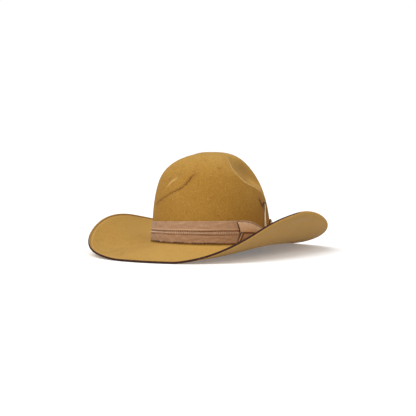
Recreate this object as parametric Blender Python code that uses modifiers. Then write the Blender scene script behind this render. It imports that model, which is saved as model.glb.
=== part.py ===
"""A wide-brimmed felt hat with rolled sides, a folded ribbon band, a flat side bow and a leather lace.

Frame: metres, +Z up, standing on z = 0. The front of the hat looks along -Y and the wearer's left is +X.
Azimuths run from the front (0 degrees) over the wearer's left (90), the back (180) and the right (270).
"""
import math

import bmesh
import bpy
import numpy as np

# Felt: the oval where the crown meets the brim, measured outside, and the crown on it
HEAD_LENGTH = 0.206
HEAD_WIDTH = 0.172
HEAD_SQUARENESS = 2.15
CROWN_HEIGHT = 0.1408
CROWN_TAPER = 0.05
FELT = 0.0022
BREAK_RADIUS = 0.0015

# Brim, measured along the felt from the crown
BRIM_WIDTH = 0.1035
BRIM_SIDE_WIDTH = 0.0950
CURL_POWER = 1.4
FLATTENED = 0.0014
FLATTEN_BLEND = 0.0006

# Edge binding: a thin folded strip over the cut edge of the felt
BINDING_WALL = 0.0005
BINDING_LEG = 0.0018

# Ribbon band round the crown
BAND_HEIGHT = 0.0352
BAND_WALL = 0.0011
BAND_LIFT = 0.0003
RIDGE_RISE = 0.0008
PINCH = 0.40
PINCH_SPREAD = 20.0

# Bow at the wearer's left, a little towards the back
KNOT_AZIMUTH = 110.0
KNOT_WIDTH = 0.012
KNOT_HEIGHT = 0.021
KNOT_RISE = 0.0036
WING_WALL = 0.0010
FRONT_WING_LENGTH = 0.0662
REAR_WING_LENGTH = 0.040
WING_HEIGHT = 0.0305
WING_LIFT = 0.0034
WING_NOTCH = 0.0045
FOLD_STEP = 0.0009

# Leather lace out of the rear one of two punched holes
HOLE_RADIUS = 0.0022
HOLE_HEIGHT = 0.0587
LACE_HOLE_AZIMUTH = 117.0
LACE_LOW_AZIMUTH = 108.3
SPARE_HOLE_AZIMUTH = 108.0
LACE_WALL = 0.0009
LACE_WIDTH_TOP = 0.0020
LACE_WIDTH_LOW = 0.0042
LACE_TAIL = 0.010
LACE_CURVE = 3.0

# Clearance between separate pieces
GAP = 0.0003

# Fineness of the meshes
TURN_STEPS = 64
CROWN_STEPS = 15
BREAK_STEPS = 3
BRIM_STEPS = 8
EDGE_STEP = 0.0030

# Brim sections, evenly spaced round the hat from the front: degrees of slope where the brim leaves the crown
# and at its edge, positive upwards
BRIM_SECTIONS = (
    # azimuth, slope at crown, slope at edge
    (0, -9, -11),
    (30, -19, 15),
    (60, -13, 71),
    (90, -2, 88),
    (120, -1, 84),
    (150, -8, 35),
    (180, -8, -5),
    (210, -2, 12),
    (240, -4, 41),
    (270, 1, 55),
    (300, 5, 41),
    (330, -17, 22),
)

# Crown sections, evenly spaced: the larger the fullness, the squarer the shoulder
CROWN_SECTIONS = (
    # azimuth, fullness
    (0, 3.35),
    (45, 3.0),
    (90, 3.05),
    (135, 2.4),
    (180, 2.45),
    (225, 2.8),
    (270, 3.2),
    (315, 3.3),
)

# Dents pressed into the crown: height, half height and depth are shares of the crown's height, and half width
# is a share of the head's width. A sharpness of 1 gives a crisp rim, and a negative tilt lowers the rear end
DENTS = (
    # azimuth, height, half width, half height, depth, sharpness, tilt
    (100, 0.794, 0.26, 0.211, 0.088, 1.4, -27),
    (310, 0.931, 0.25, 0.344, 0.062, 2.0, 0),
)

# Height of the band round the hat, evenly spaced, as a share of its full height
BAND_SECTIONS = (
    # azimuth, height share
    (0, 0.94),
    (60, 1.00),
    (120, 1.00),
    (180, 0.95),
    (240, 0.88),
    (300, 0.82),
)

# Folds of the band from its lower to its upper edge: share of its height, and rise as a share of a full ridge
BAND_FOLDS = (
    # height share, rise
    (0.00, 0.0),
    (0.40, 0.0),
    (0.47, 1.0),
    (0.54, 0.1),
    (0.62, 1.0),
    (0.69, 0.0),
    (1.00, 0.0),
)

# Folds of a bow wing across its height: share of the height, and step outwards as a share of the fold step
WING_FOLDS = (
    # height share, step
    (0.00, 0.2),
    (0.25, 0.4),
    (0.46, 0.0),
    (0.50, 1.0),
    (0.75, 1.2),
    (1.00, 0.8),
)

# Colours, roughness and metallic value
FELT_LOOK = ("felt", (0.43, 0.25, 0.07), 0.95, 0.0)
BINDING_LOOK = ("binding", (0.055, 0.030, 0.035), 0.80, 0.0)
RIBBON_LOOK = ("ribbon", (0.42, 0.22, 0.13), 0.85, 0.0)
BOW_LOOK = ("bow_ribbon", (0.55, 0.31, 0.19), 0.85, 0.0)
LACE_LOOK = ("lace", (0.72, 0.50, 0.32), 0.70, 0.0)


def closed_spline(rows, column):
    """Return a smooth function of azimuth in radians through one column of evenly spaced rows."""
    values = np.array([row[column] for row in rows], float)
    count = len(values)
    step = 2 * math.pi / count
    matrix = np.zeros((count, count))
    for i in range(count):
        matrix[i, i] = 4 * step * step / 6
        matrix[i, i - 1] = step * step / 6
        matrix[i, (i + 1) % count] = step * step / 6
    bends = np.linalg.solve(matrix, np.roll(values, 1) - 2 * values + np.roll(values, -1))

    def value(azimuth):
        place = np.mod(np.asarray(azimuth, float), 2 * math.pi) / step
        first = np.floor(place).astype(int) % count
        second = (first + 1) % count
        b = place - np.floor(place)
        a = 1 - b
        curve = (a**3 - a) * bends[first] + (b**3 - b) * bends[second]
        return a * values[first] + b * values[second] + curve * step * step / 6

    return value


SLOPE_AT_CROWN = closed_spline(BRIM_SECTIONS, 1)
SLOPE_AT_EDGE = closed_spline(BRIM_SECTIONS, 2)
FULLNESS = closed_spline(CROWN_SECTIONS, 1)
BAND_SHARE = closed_spline(BAND_SECTIONS, 1)


def head_oval(azimuth):
    """Return the oval at the foot of the crown, as an array of x and y."""
    across = np.sin(azimuth)
    along = -np.cos(azimuth)
    reach = np.abs(across / (HEAD_WIDTH / 2)) ** HEAD_SQUARENESS
    reach = (reach + np.abs(along / (HEAD_LENGTH / 2)) ** HEAD_SQUARENESS) ** (-1 / HEAD_SQUARENESS)
    return np.stack([reach * across, reach * along], -1)


def outward(azimuth):
    """Return the level direction square to the head oval, pointing away from it."""
    small = 1e-4
    run = head_oval(azimuth + small) - head_oval(azimuth - small)
    side = np.stack([run[..., 1], -run[..., 0]], -1)
    return side / np.linalg.norm(side, axis=-1, keepdims=True)


def brim_reach(azimuth):
    """Return the width of the brim along the felt."""
    side = np.sin(azimuth) ** 2
    return BRIM_WIDTH + (BRIM_SIDE_WIDTH - BRIM_WIDTH) * side


def brim_section(azimuth, share):
    """Return how far out and how far up the brim has gone at a share of its width."""
    fine = 48
    steps = (np.arange(fine) + 0.5) / fine * share[..., None]
    start = SLOPE_AT_CROWN(azimuth)[..., None]
    end = SLOPE_AT_EDGE(azimuth)[..., None]
    slope = np.radians(start + (end - start) * steps**CURL_POWER)
    length = brim_reach(azimuth) * share
    return length * np.cos(slope).mean(-1), length * np.sin(slope).mean(-1)


def dip(azimuth_degrees):
    """Return how far the brim's edge lies under the foot of the crown at an azimuth."""
    azimuth = np.array(math.radians(azimuth_degrees))
    return -float(brim_section(azimuth, np.array(1.0))[1])


# The hat stands on its front and its back dip, so their depths settle how high and how level the crown sits
REST = FELT + GAP + BINDING_WALL
FOOT_HEIGHT = REST - FLATTENED + (dip(0) + dip(180)) / 2
FOOT_LEAN = (dip(0) - dip(180)) / 2


def foot_height(azimuth):
    """Return the height of the foot of the crown over the surface that the hat stands on."""
    return FOOT_HEIGHT + FOOT_LEAN * np.cos(azimuth)


def flattened(height):
    """Return the height of a felt point once the felt lies flat where it would reach under its rest."""
    over = height - REST
    blend = (over + FLATTEN_BLEND) ** 2 / (4 * FLATTEN_BLEND)
    over = np.where(over > FLATTEN_BLEND, over, np.where(over < -FLATTEN_BLEND, 0.0, blend))
    return REST + over


def crown_wall(azimuth, height):
    """Return the undented outer face of the crown at a height over the rounded break."""
    share = np.clip(height / CROWN_HEIGHT, 0, 1)
    power = FULLNESS(azimuth)
    narrow = (1 - share**power) ** (1 / power) * (1 - CROWN_TAPER * share)
    plan = head_oval(azimuth) * narrow[..., None]
    rise = foot_height(azimuth) * (1 - share) + FOOT_HEIGHT * share + BREAK_RADIUS + height
    return np.concatenate([plan, rise[..., None]], -1)


def wall_frame(azimuth, height):
    """Return a point of the crown's outer face with its directions along, up and out."""
    azimuth = np.asarray(azimuth, float)
    height = np.asarray(height, float)
    small = 1e-4
    point = crown_wall(azimuth, height)
    along = crown_wall(azimuth + small, height) - crown_wall(azimuth - small, height)
    along = along / np.linalg.norm(along, axis=-1, keepdims=True)
    up = crown_wall(azimuth, height + small) - crown_wall(azimuth, np.maximum(height - small, 0))
    up = up / np.linalg.norm(up, axis=-1, keepdims=True)
    out = np.cross(along, up)
    return point, along, up, out / np.linalg.norm(out, axis=-1, keepdims=True)


def pressed(points):
    """Return crown points pushed inwards by the dents."""
    for azimuth, height, half_width, half_height, depth, sharpness, tilt in DENTS:
        centre, along, up, out = wall_frame(math.radians(azimuth), height * CROWN_HEIGHT)
        turn = math.radians(tilt)
        long_way = along * math.cos(turn) + up * math.sin(turn)
        short_way = up * math.cos(turn) - along * math.sin(turn)
        away = points - centre
        reach = (away @ long_way / (half_width * HEAD_WIDTH)) ** 2
        reach = reach + (away @ short_way / (half_height * CROWN_HEIGHT)) ** 2
        same_side = away @ out > -HEAD_WIDTH / 3
        push = np.where(same_side, np.clip(1 - reach, 0, 1) ** sharpness, 0)
        points = points - out * (push * depth * CROWN_HEIGHT)[..., None]
    return points


def crown_rows(azimuths):
    """Return rows of crown points, evenly spaced down each section from just under the top to the break."""
    lift = np.sin(np.linspace(0, math.pi / 2, 400))
    rows = np.zeros((CROWN_STEPS, len(azimuths), 3))
    for column, azimuth in enumerate(azimuths):
        power = float(FULLNESS(azimuth))
        heights = CROWN_HEIGHT * lift ** (2 / power)
        section = crown_wall(np.full(len(heights), azimuth), heights)
        run = np.concatenate([[0], np.cumsum(np.linalg.norm(np.diff(section, axis=0), axis=1))])
        wanted = run[-1] * np.arange(CROWN_STEPS) / CROWN_STEPS
        for axis in range(3):
            rows[:, column, axis] = np.interp(wanted, run, section[:, axis])
    return rows[::-1]


def break_rows(azimuths):
    """Return the rounded break between crown and brim, from the crown outwards."""
    out, up = brim_section(azimuths, BREAK_RADIUS / brim_reach(azimuths))
    rows = []
    for step in range(1, BREAK_STEPS + 1):
        turn = math.pi / 2 * step / BREAK_STEPS
        plan = head_oval(azimuths) + outward(azimuths) * out[:, None] * (1 - math.cos(turn))
        rise = foot_height(azimuths) + up + (BREAK_RADIUS - up) * (1 - math.sin(turn))
        rows.append(np.column_stack([plan, rise]))
    return rows


def brim_rows(azimuths):
    """Return the upper face of the brim, from the break to the edge."""
    first = BREAK_RADIUS / brim_reach(azimuths)
    last = 1 - EDGE_STEP / BRIM_WIDTH
    shares = [first + (last - first) * step / BRIM_STEPS for step in range(1, BRIM_STEPS + 1)]
    rows = []
    for share in shares + [np.ones(len(azimuths))]:
        out, up = brim_section(azimuths, share)
        plan = head_oval(azimuths) + outward(azimuths) * out[:, None]
        rise = flattened(foot_height(azimuths) + up)
        rows.append(np.column_stack([plan, rise]))
    return rows


def turn_azimuths():
    """Return the azimuths of the mesh columns that all the round pieces share."""
    return np.arange(TURN_STEPS) * 2 * math.pi / TURN_STEPS


def plan_centre():
    """Return the middle of the brim's outline, where the origin stands."""
    edge = brim_rows(turn_azimuths())[-1]
    return (edge[:, :2].max(0) + edge[:, :2].min(0)) / 2


CENTRE = np.append(plan_centre(), 0.0)


def material(look):
    """Return the Principled material of a look."""
    name, colour, roughness, metallic = look
    made = bpy.data.materials.get(name)
    if made is None:
        made = bpy.data.materials.new(name)
        made.use_nodes = True
        shader = made.node_tree.nodes["Principled BSDF"]
        shader.inputs["Base Color"].default_value = (*colour, 1.0)
        shader.inputs["Roughness"].default_value = roughness
        shader.inputs["Metallic"].default_value = metallic
        made.diffuse_color = (*colour, 1.0)
    return made


def add_object(name, points, faces, look, collection):
    """Make an object from points in the hat's own frame and add it to a collection."""
    mesh = bpy.data.meshes.new(name)
    moved = [tuple(float(value) for value in point - CENTRE) for point in points]
    mesh.from_pydata(moved, [], faces)
    mesh.validate()
    mesh.materials.append(material(look))
    mesh.shade_smooth()
    made = bpy.data.objects.new(name, mesh)
    collection.objects.link(made)
    return made


def grid_faces(rows, columns, closed):
    """Return the faces between rows of points, each row closed into a ring or left open."""
    faces = []
    for row in range(rows - 1):
        for column in range(columns if closed else columns - 1):
            following = (column + 1) % columns
            near = row * columns
            far = near + columns
            faces.append((near + column, far + column, far + following, near + following))
    return faces


def add_loft(name, sections, look, collection, closed):
    """Make a solid through equal sections: a closed sweep, or one with its two ends capped."""
    count = len(sections)
    size = len(sections[0])
    points = np.concatenate(sections)
    wrapped = count + 1 if closed else count
    faces = []
    for face in grid_faces(wrapped, size, True):
        faces.append(tuple(index % (count * size) for index in face))
    if not closed:
        faces.append(tuple(range(size)))
        faces.append(tuple(reversed(range((count - 1) * size, count * size))))
    made = add_object(name, points, faces, look, collection)
    face_outwards(made.data)
    return made


def face_outwards(mesh):
    """Turn the faces of a closed mesh so that they point out of it."""
    work = bmesh.new()
    work.from_mesh(mesh)
    bmesh.ops.recalc_face_normals(work, faces=work.faces)
    work.to_mesh(mesh)
    work.free()


def add_wall(target, thickness, offset):
    """Give an open surface an even wall: offset -1 puts it under the surface, 1 over it."""
    wall = target.modifiers.new("wall", "SOLIDIFY")
    wall.thickness = thickness
    wall.offset = offset
    wall.use_even_offset = True
    return wall


def add_felt_body(collection, cutters):
    """Crown and brim are one blocked piece of felt, open under the crown, with two punched holes."""
    azimuths = turn_azimuths()
    top = np.array([[0.0, 0.0, FOOT_HEIGHT + BREAK_RADIUS + CROWN_HEIGHT]])
    rows = list(pressed(crown_rows(azimuths))) + break_rows(azimuths) + brim_rows(azimuths)
    points = np.concatenate([pressed(top)] + rows)
    faces = []
    for column in range(TURN_STEPS):
        faces.append((0, 1 + column, 1 + (column + 1) % TURN_STEPS))
    for face in grid_faces(len(rows), TURN_STEPS, True):
        faces.append(tuple(index + 1 for index in face))
    body = add_object("felt_body", points, faces, FELT_LOOK, collection)
    add_wall(body, FELT, -1)
    for name, azimuth in (("lace_hole", LACE_HOLE_AZIMUTH), ("spare_hole", SPARE_HOLE_AZIMUTH)):
        punch = body.modifiers.new(name, "BOOLEAN")
        punch.operation = "DIFFERENCE"
        punch.object = add_punch(name, azimuth, cutters)
    return body


def add_punch(name, azimuth, cutters):
    """Make the round cutter of one punched hole, square to the crown's wall."""
    centre, along, up, out = wall_frame(math.radians(azimuth), HOLE_HEIGHT)
    sides = 10
    half_length = 3 * FELT
    sections = []
    for shift in (-half_length, half_length):
        ring = []
        for side in range(sides):
            turn = 2 * math.pi * side / sides
            ring.append(centre + (along * math.cos(turn) + up * math.sin(turn)) * HOLE_RADIUS + out * shift)
        sections.append(np.array(ring))
    cutter = add_loft(name, sections, FELT_LOOK, cutters, False)
    cutter.hide_render = True
    cutter.display_type = "WIRE"
    return cutter


def add_brim_binding(collection):
    """A thin strip folded over the cut edge of the brim, all the way round."""
    azimuths = turn_azimuths()
    rows = brim_rows(azimuths)
    edge = rows[-1]
    run = np.roll(edge, -1, 0) - np.roll(edge, 1, 0)
    run = run / np.linalg.norm(run, axis=1, keepdims=True)
    slope = edge - rows[-2]
    over = np.cross(slope, run)
    over = over / np.linalg.norm(over, axis=1, keepdims=True)
    past = np.cross(run, over)
    inner = GAP
    outer = GAP + BINDING_WALL
    profile = (
        (outer, outer),
        (outer, -FELT - outer),
        (-BINDING_LEG, -FELT - outer),
        (-BINDING_LEG, -FELT - inner),
        (inner, -FELT - inner),
        (inner, inner),
        (-BINDING_LEG, inner),
        (-BINDING_LEG, outer),
    )
    sections = []
    for column in range(TURN_STEPS):
        ring = [edge[column] + past[column] * far + over[column] * high for far, high in profile]
        sections.append(np.array(ring))
    return add_loft("brim_binding", sections, BINDING_LOOK, collection, True)


def pinch_at(azimuth):
    """Return how far the band is drawn together at an azimuth, as a share of its height."""
    away = np.degrees(azimuth) - KNOT_AZIMUTH
    return PINCH * np.exp(-((away / PINCH_SPREAD) ** 2))


def band_top(azimuth):
    """Return the height of the band's upper edge over the rounded break."""
    return BAND_LIFT + BAND_HEIGHT * BAND_SHARE(azimuth) * (1 - pinch_at(azimuth))


def add_hat_band(collection):
    """Ribbon laid round the foot of the crown with two raised folds, drawn together at the knot."""
    sections = []
    for azimuth in turn_azimuths():
        low = BAND_LIFT
        high = float(band_top(azimuth))
        inner = []
        outer = []
        for share, rise in BAND_FOLDS:
            point, along, up, out = wall_frame(azimuth, low + (high - low) * share)
            inner.append(point + out * GAP)
            outer.append(point + out * (GAP + BAND_WALL + RIDGE_RISE * rise))
        sections.append(np.array(inner + outer[::-1]))
    return add_loft("hat_band", sections, RIBBON_LOOK, collection, True)


def azimuth_at(start, distance):
    """Return the azimuth that lies a distance along the foot of the crown from a start, towards the back."""
    steps = 24
    azimuth = start
    for step in range(steps):
        small = 1e-4
        rate = np.linalg.norm(head_oval(azimuth + small) - head_oval(azimuth - small)) / (2 * small)
        azimuth = azimuth + distance / steps / rate
    return azimuth


WING_OFFSET = GAP + BAND_WALL + RIDGE_RISE + GAP
KNOT_OFFSET = WING_OFFSET + LACE_WALL + GAP
KNOT_MIDDLE = BAND_LIFT + BAND_HEIGHT * (1 - PINCH) / 2


def add_wing(name, length, side, collection):
    """One wing of the bow: a folded ribbon with a notched end, narrow at the knot. Side -1 runs forwards."""
    columns = 8
    points = []
    for column in range(columns + 1):
        share = column / columns
        for height_share, step in WING_FOLDS:
            notch = WING_NOTCH * (1 - abs(2 * height_share - 1)) * share
            distance = KNOT_WIDTH / 2 + GAP + (length - notch) * share
            azimuth = azimuth_at(math.radians(KNOT_AZIMUTH), side * distance)
            spread = math.sin(share * math.pi / 2)
            height = KNOT_HEIGHT * 0.8 + (WING_HEIGHT - KNOT_HEIGHT * 0.8) * spread
            middle = KNOT_MIDDLE + (WING_HEIGHT / 2 + WING_LIFT - KNOT_MIDDLE) * spread
            point, along, up, out = wall_frame(azimuth, max(middle + height * (height_share - 0.5), 0.0))
            points.append(point + out * (WING_OFFSET + WING_WALL + FOLD_STEP * step))
    faces = grid_faces(columns + 1, len(WING_FOLDS), False)
    if side > 0:
        faces = [tuple(reversed(face)) for face in faces]
    wing = add_object(name, points, faces, BOW_LOOK, collection)
    add_wall(wing, WING_WALL, 1)
    return wing


def add_bow_knot(collection):
    """The ribbon wrapped round the middle of the bow, a rounded pad on the band."""
    sections = []
    azimuth = math.radians(KNOT_AZIMUTH)
    for column in range(7):
        share = column / 6 * 2 - 1
        across = share * KNOT_WIDTH / 2
        full = (1 - abs(share) ** 4) ** 0.5 if abs(share) < 1 else 0.0
        ring = []
        for height_share in (-1, -0.6, 0, 0.6, 1):
            height = KNOT_MIDDLE + height_share * KNOT_HEIGHT / 2
            point, along, up, out = wall_frame(azimuth_at(azimuth, across), height)
            ring.append((point, out, height_share))
        low = [point + out * KNOT_OFFSET for point, out, height_share in ring]
        high = []
        for point, out, height_share in ring:
            crest = (1 - 0.75 * abs(height_share) ** 3) * (0.35 + 0.65 * full)
            high.append(point + out * (KNOT_OFFSET + KNOT_RISE * crest))
        sections.append(np.array(low + high[::-1]))
    return add_loft("bow_knot", sections, BOW_LOOK, collection, False)


def add_leather_lace(collection):
    """A flat thong: a tail inside the crown, out through the rear hole, then down and forwards under the knot."""
    turn_radius = FELT / 2 + GAP + LACE_WALL / 2
    turn_height = HOLE_HEIGHT - HOLE_RADIUS / 2
    route = [(turn_height - LACE_TAIL, -FELT - GAP - LACE_WALL / 2)]
    for step in range(7):
        turn = math.pi * step / 6
        route.append((turn_height + turn_radius * math.sin(turn), -FELT / 2 - turn_radius * math.cos(turn)))
    over_felt = GAP + LACE_WALL / 2
    over_band = WING_OFFSET + LACE_WALL / 2
    top_of_band = float(band_top(math.radians(LACE_LOW_AZIMUTH)))
    low_end = KNOT_MIDDLE + KNOT_HEIGHT * 0.1
    clear = 3 * over_band
    for share in (0.12, 0.30, 0.55):
        route.append((turn_height - (turn_height - top_of_band - 2 * clear) * share, over_felt))
    route.append((top_of_band + 2 * clear, over_felt))
    route.append((top_of_band + clear, over_band * 0.8))
    route.append((top_of_band + clear / 4, over_band))
    route.append(((top_of_band + low_end) / 2, over_band))
    route.append((low_end, over_band))
    sections = []
    run = max(height for height, offset in route) - low_end
    for index, (height, offset) in enumerate(route):
        share = max((turn_height - height) / run, 0.0) if index > 3 else 0.0
        half = (LACE_WIDTH_TOP + (LACE_WIDTH_LOW - LACE_WIDTH_TOP) * share) / 2
        lean = (LACE_HOLE_AZIMUTH - LACE_LOW_AZIMUTH) * (1 - share) ** LACE_CURVE
        azimuth = math.radians(LACE_LOW_AZIMUTH + lean)
        before = route[max(index - 1, 0)]
        after = route[min(index + 1, len(route) - 1)]
        tangent = np.array([after[0] - before[0], after[1] - before[1]])
        tangent = tangent / np.linalg.norm(tangent)
        point, along, up, out = wall_frame(azimuth, max(height, 0.0))
        middle = point + out * offset
        side = out * tangent[0] - up * tangent[1]
        half_wall = side * LACE_WALL / 2
        ring = [
            middle - along * half - half_wall,
            middle + along * half - half_wall,
            middle + along * half + half_wall,
            middle - along * half + half_wall,
        ]
        sections.append(np.array(ring))
    return add_loft("leather_lace", sections, LACE_LOOK, collection, False)


def main():
    """Build every piece of the hat."""
    for old in list(bpy.data.objects):
        bpy.data.objects.remove(old, do_unlink=True)
    parts = bpy.data.collections.new("felt_hat")
    cutters = bpy.data.collections.new("cutters")
    bpy.context.scene.collection.children.link(parts)
    bpy.context.scene.collection.children.link(cutters)
    add_felt_body(parts, cutters)
    add_brim_binding(parts)
    add_hat_band(parts)
    add_wing("bow_front_wing", FRONT_WING_LENGTH, -1, parts)
    add_wing("bow_rear_wing", REAR_WING_LENGTH, 1, parts)
    add_bow_knot(parts)
    add_leather_lace(parts)


main()
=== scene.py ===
"""Looks of a wide-brimmed felt hat: worn golden felt, a folded ribbon band with a side bow, and a pale leather lace.

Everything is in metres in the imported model's frame: +Z up, the front of the hat looks along -Y and the wearer's left
is +X. Azimuths run in degrees from the front over the wearer's left (90) and the back (180).
"""

import logging
import math
from dataclasses import dataclass, field
from enum import Enum
from typing import Any, Callable, Sequence

import bmesh
import bpy
import numpy as np
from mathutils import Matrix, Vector, noise


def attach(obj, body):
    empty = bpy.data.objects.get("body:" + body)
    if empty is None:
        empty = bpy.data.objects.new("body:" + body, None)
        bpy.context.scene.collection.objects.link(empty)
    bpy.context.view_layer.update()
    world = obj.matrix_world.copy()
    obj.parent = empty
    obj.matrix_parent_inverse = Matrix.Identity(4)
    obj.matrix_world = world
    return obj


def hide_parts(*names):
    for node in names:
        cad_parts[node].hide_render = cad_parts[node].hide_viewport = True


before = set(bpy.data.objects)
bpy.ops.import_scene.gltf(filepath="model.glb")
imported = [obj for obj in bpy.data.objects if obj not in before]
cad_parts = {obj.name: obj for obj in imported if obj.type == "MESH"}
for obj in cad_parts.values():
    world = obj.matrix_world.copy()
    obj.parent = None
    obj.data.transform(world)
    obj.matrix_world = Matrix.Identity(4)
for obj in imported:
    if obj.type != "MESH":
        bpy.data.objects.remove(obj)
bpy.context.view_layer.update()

log = logging.getLogger("felt_hat")
Array = np.ndarray
Colour = tuple[float, float, float]
TURN = 2 * math.pi
# radians or metres over which directions are measured
PROBE = 1e-4


class Side(Enum):
    """Which way along the crown's foot a wing of the bow runs from its knot."""

    FRONT = -1
    REAR = 1


class MarkKind(Enum):
    """What a mark on the felt is, which sets how it is painted."""

    # the stain kind draws a dark line, a real stain or a painted shadow; hollows get painted shade, rims a painted
    # highlight, glows painted light, and the pit kind the painted shadow inside a hole
    CRACK = "crack"
    STAIN_OR_SHADOW = "stain"
    HOLLOW = "hollow"
    RIM = "rim"
    GLOW = "glow"
    SPECKS = "specks"
    SHADOWED_HOLE = "hole_shadow"


# Smooth curves through short tables


def closed_spline(rows: Sequence[tuple], column: int) -> Callable[[Array], Array]:
    """Make a smooth closed curve through one column of rows that are evenly spaced round the hat.

    Args:
        rows: table rows, the first at the front.
        column: which value of each row the curve follows.

    Returns:
        A function from azimuths in radians to values.
    """
    values = np.array([row[column] for row in rows], float)
    count = len(values)
    step = TURN / count
    matrix = np.zeros((count, count))
    for i in range(count):
        matrix[i, i] = 4 * step * step / 6
        matrix[i, i - 1] = step * step / 6
        matrix[i, (i + 1) % count] = step * step / 6
    bends = np.linalg.solve(matrix, np.roll(values, 1) - 2 * values + np.roll(values, -1))

    def value(azimuth: Array) -> Array:
        """Read the curve.

        Args:
            azimuth: azimuths in radians.

        Returns:
            The values there.
        """
        place = np.mod(np.asarray(azimuth, float), TURN) / step
        first = np.floor(place).astype(int) % count
        second = (first + 1) % count
        b = place - np.floor(place)
        a = 1 - b
        curve = (a**3 - a) * bends[first] + (b**3 - b) * bends[second]
        return a * values[first] + b * values[second] + curve * step * step / 6

    return value


def eased(share: Array, rows: Sequence[tuple[float, float]]) -> Array:
    """Read a table of (place, value) with soft turns at its rows.

    Args:
        share: places to read.
        rows: the table, in rising places.

    Returns:
        The values there.
    """
    places = np.array([row[0] for row in rows], float)
    values = np.array([row[1] for row in rows], float)
    slopes = np.gradient(values, places)
    index = np.clip(np.searchsorted(places, share, side="right") - 1, 0, len(rows) - 2)
    width = places[index + 1] - places[index]
    t = np.clip((share - places[index]) / width, 0, 1)
    start = (2 * t**3 - 3 * t**2 + 1) * values[index] + (t**3 - 2 * t**2 + t) * width * slopes[index]
    end = (3 * t**2 - 2 * t**3) * values[index + 1] + (t**3 - t**2) * width * slopes[index + 1]
    return start + end


def bell(distance: Array, width: float) -> Array:
    """Return a soft bump of height 1 that fades over a width on each side."""
    return np.exp(-((distance / width) ** 2))


def around(count: int) -> Array:
    """Return evenly spaced azimuths in radians, the first at the front."""
    return np.arange(count) * 2 * math.pi / count


def short_way(away: Array, turn: float = TURN) -> Array:
    """Return differences between angles, the shorter way round a full turn."""
    return (away + turn / 2) % turn - turn / 2


def unit(vectors: Array) -> Array:
    """Return vectors made 1 long."""
    return vectors / np.linalg.norm(vectors, axis=-1, keepdims=True)


def travelled(points: Array) -> Array:
    """Return the distance along a line of points at each of them."""
    return np.concatenate([[0], np.cumsum(np.linalg.norm(np.diff(points, axis=0), axis=1))])


def rippled(points: Array, scale: float, seed: float) -> Array:
    """Return smooth noise from -1 to 1 at points.

    Args:
        points: points in metres, with any leading shape.
        scale: waves per metre.
        seed: shifts the pattern.

    Returns:
        One value for each point.
    """
    flat = points.reshape(-1, 3) * scale + seed
    values = [noise.noise(Vector(point)) for point in flat]
    return np.array(values).reshape(points.shape[:-1])


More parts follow.
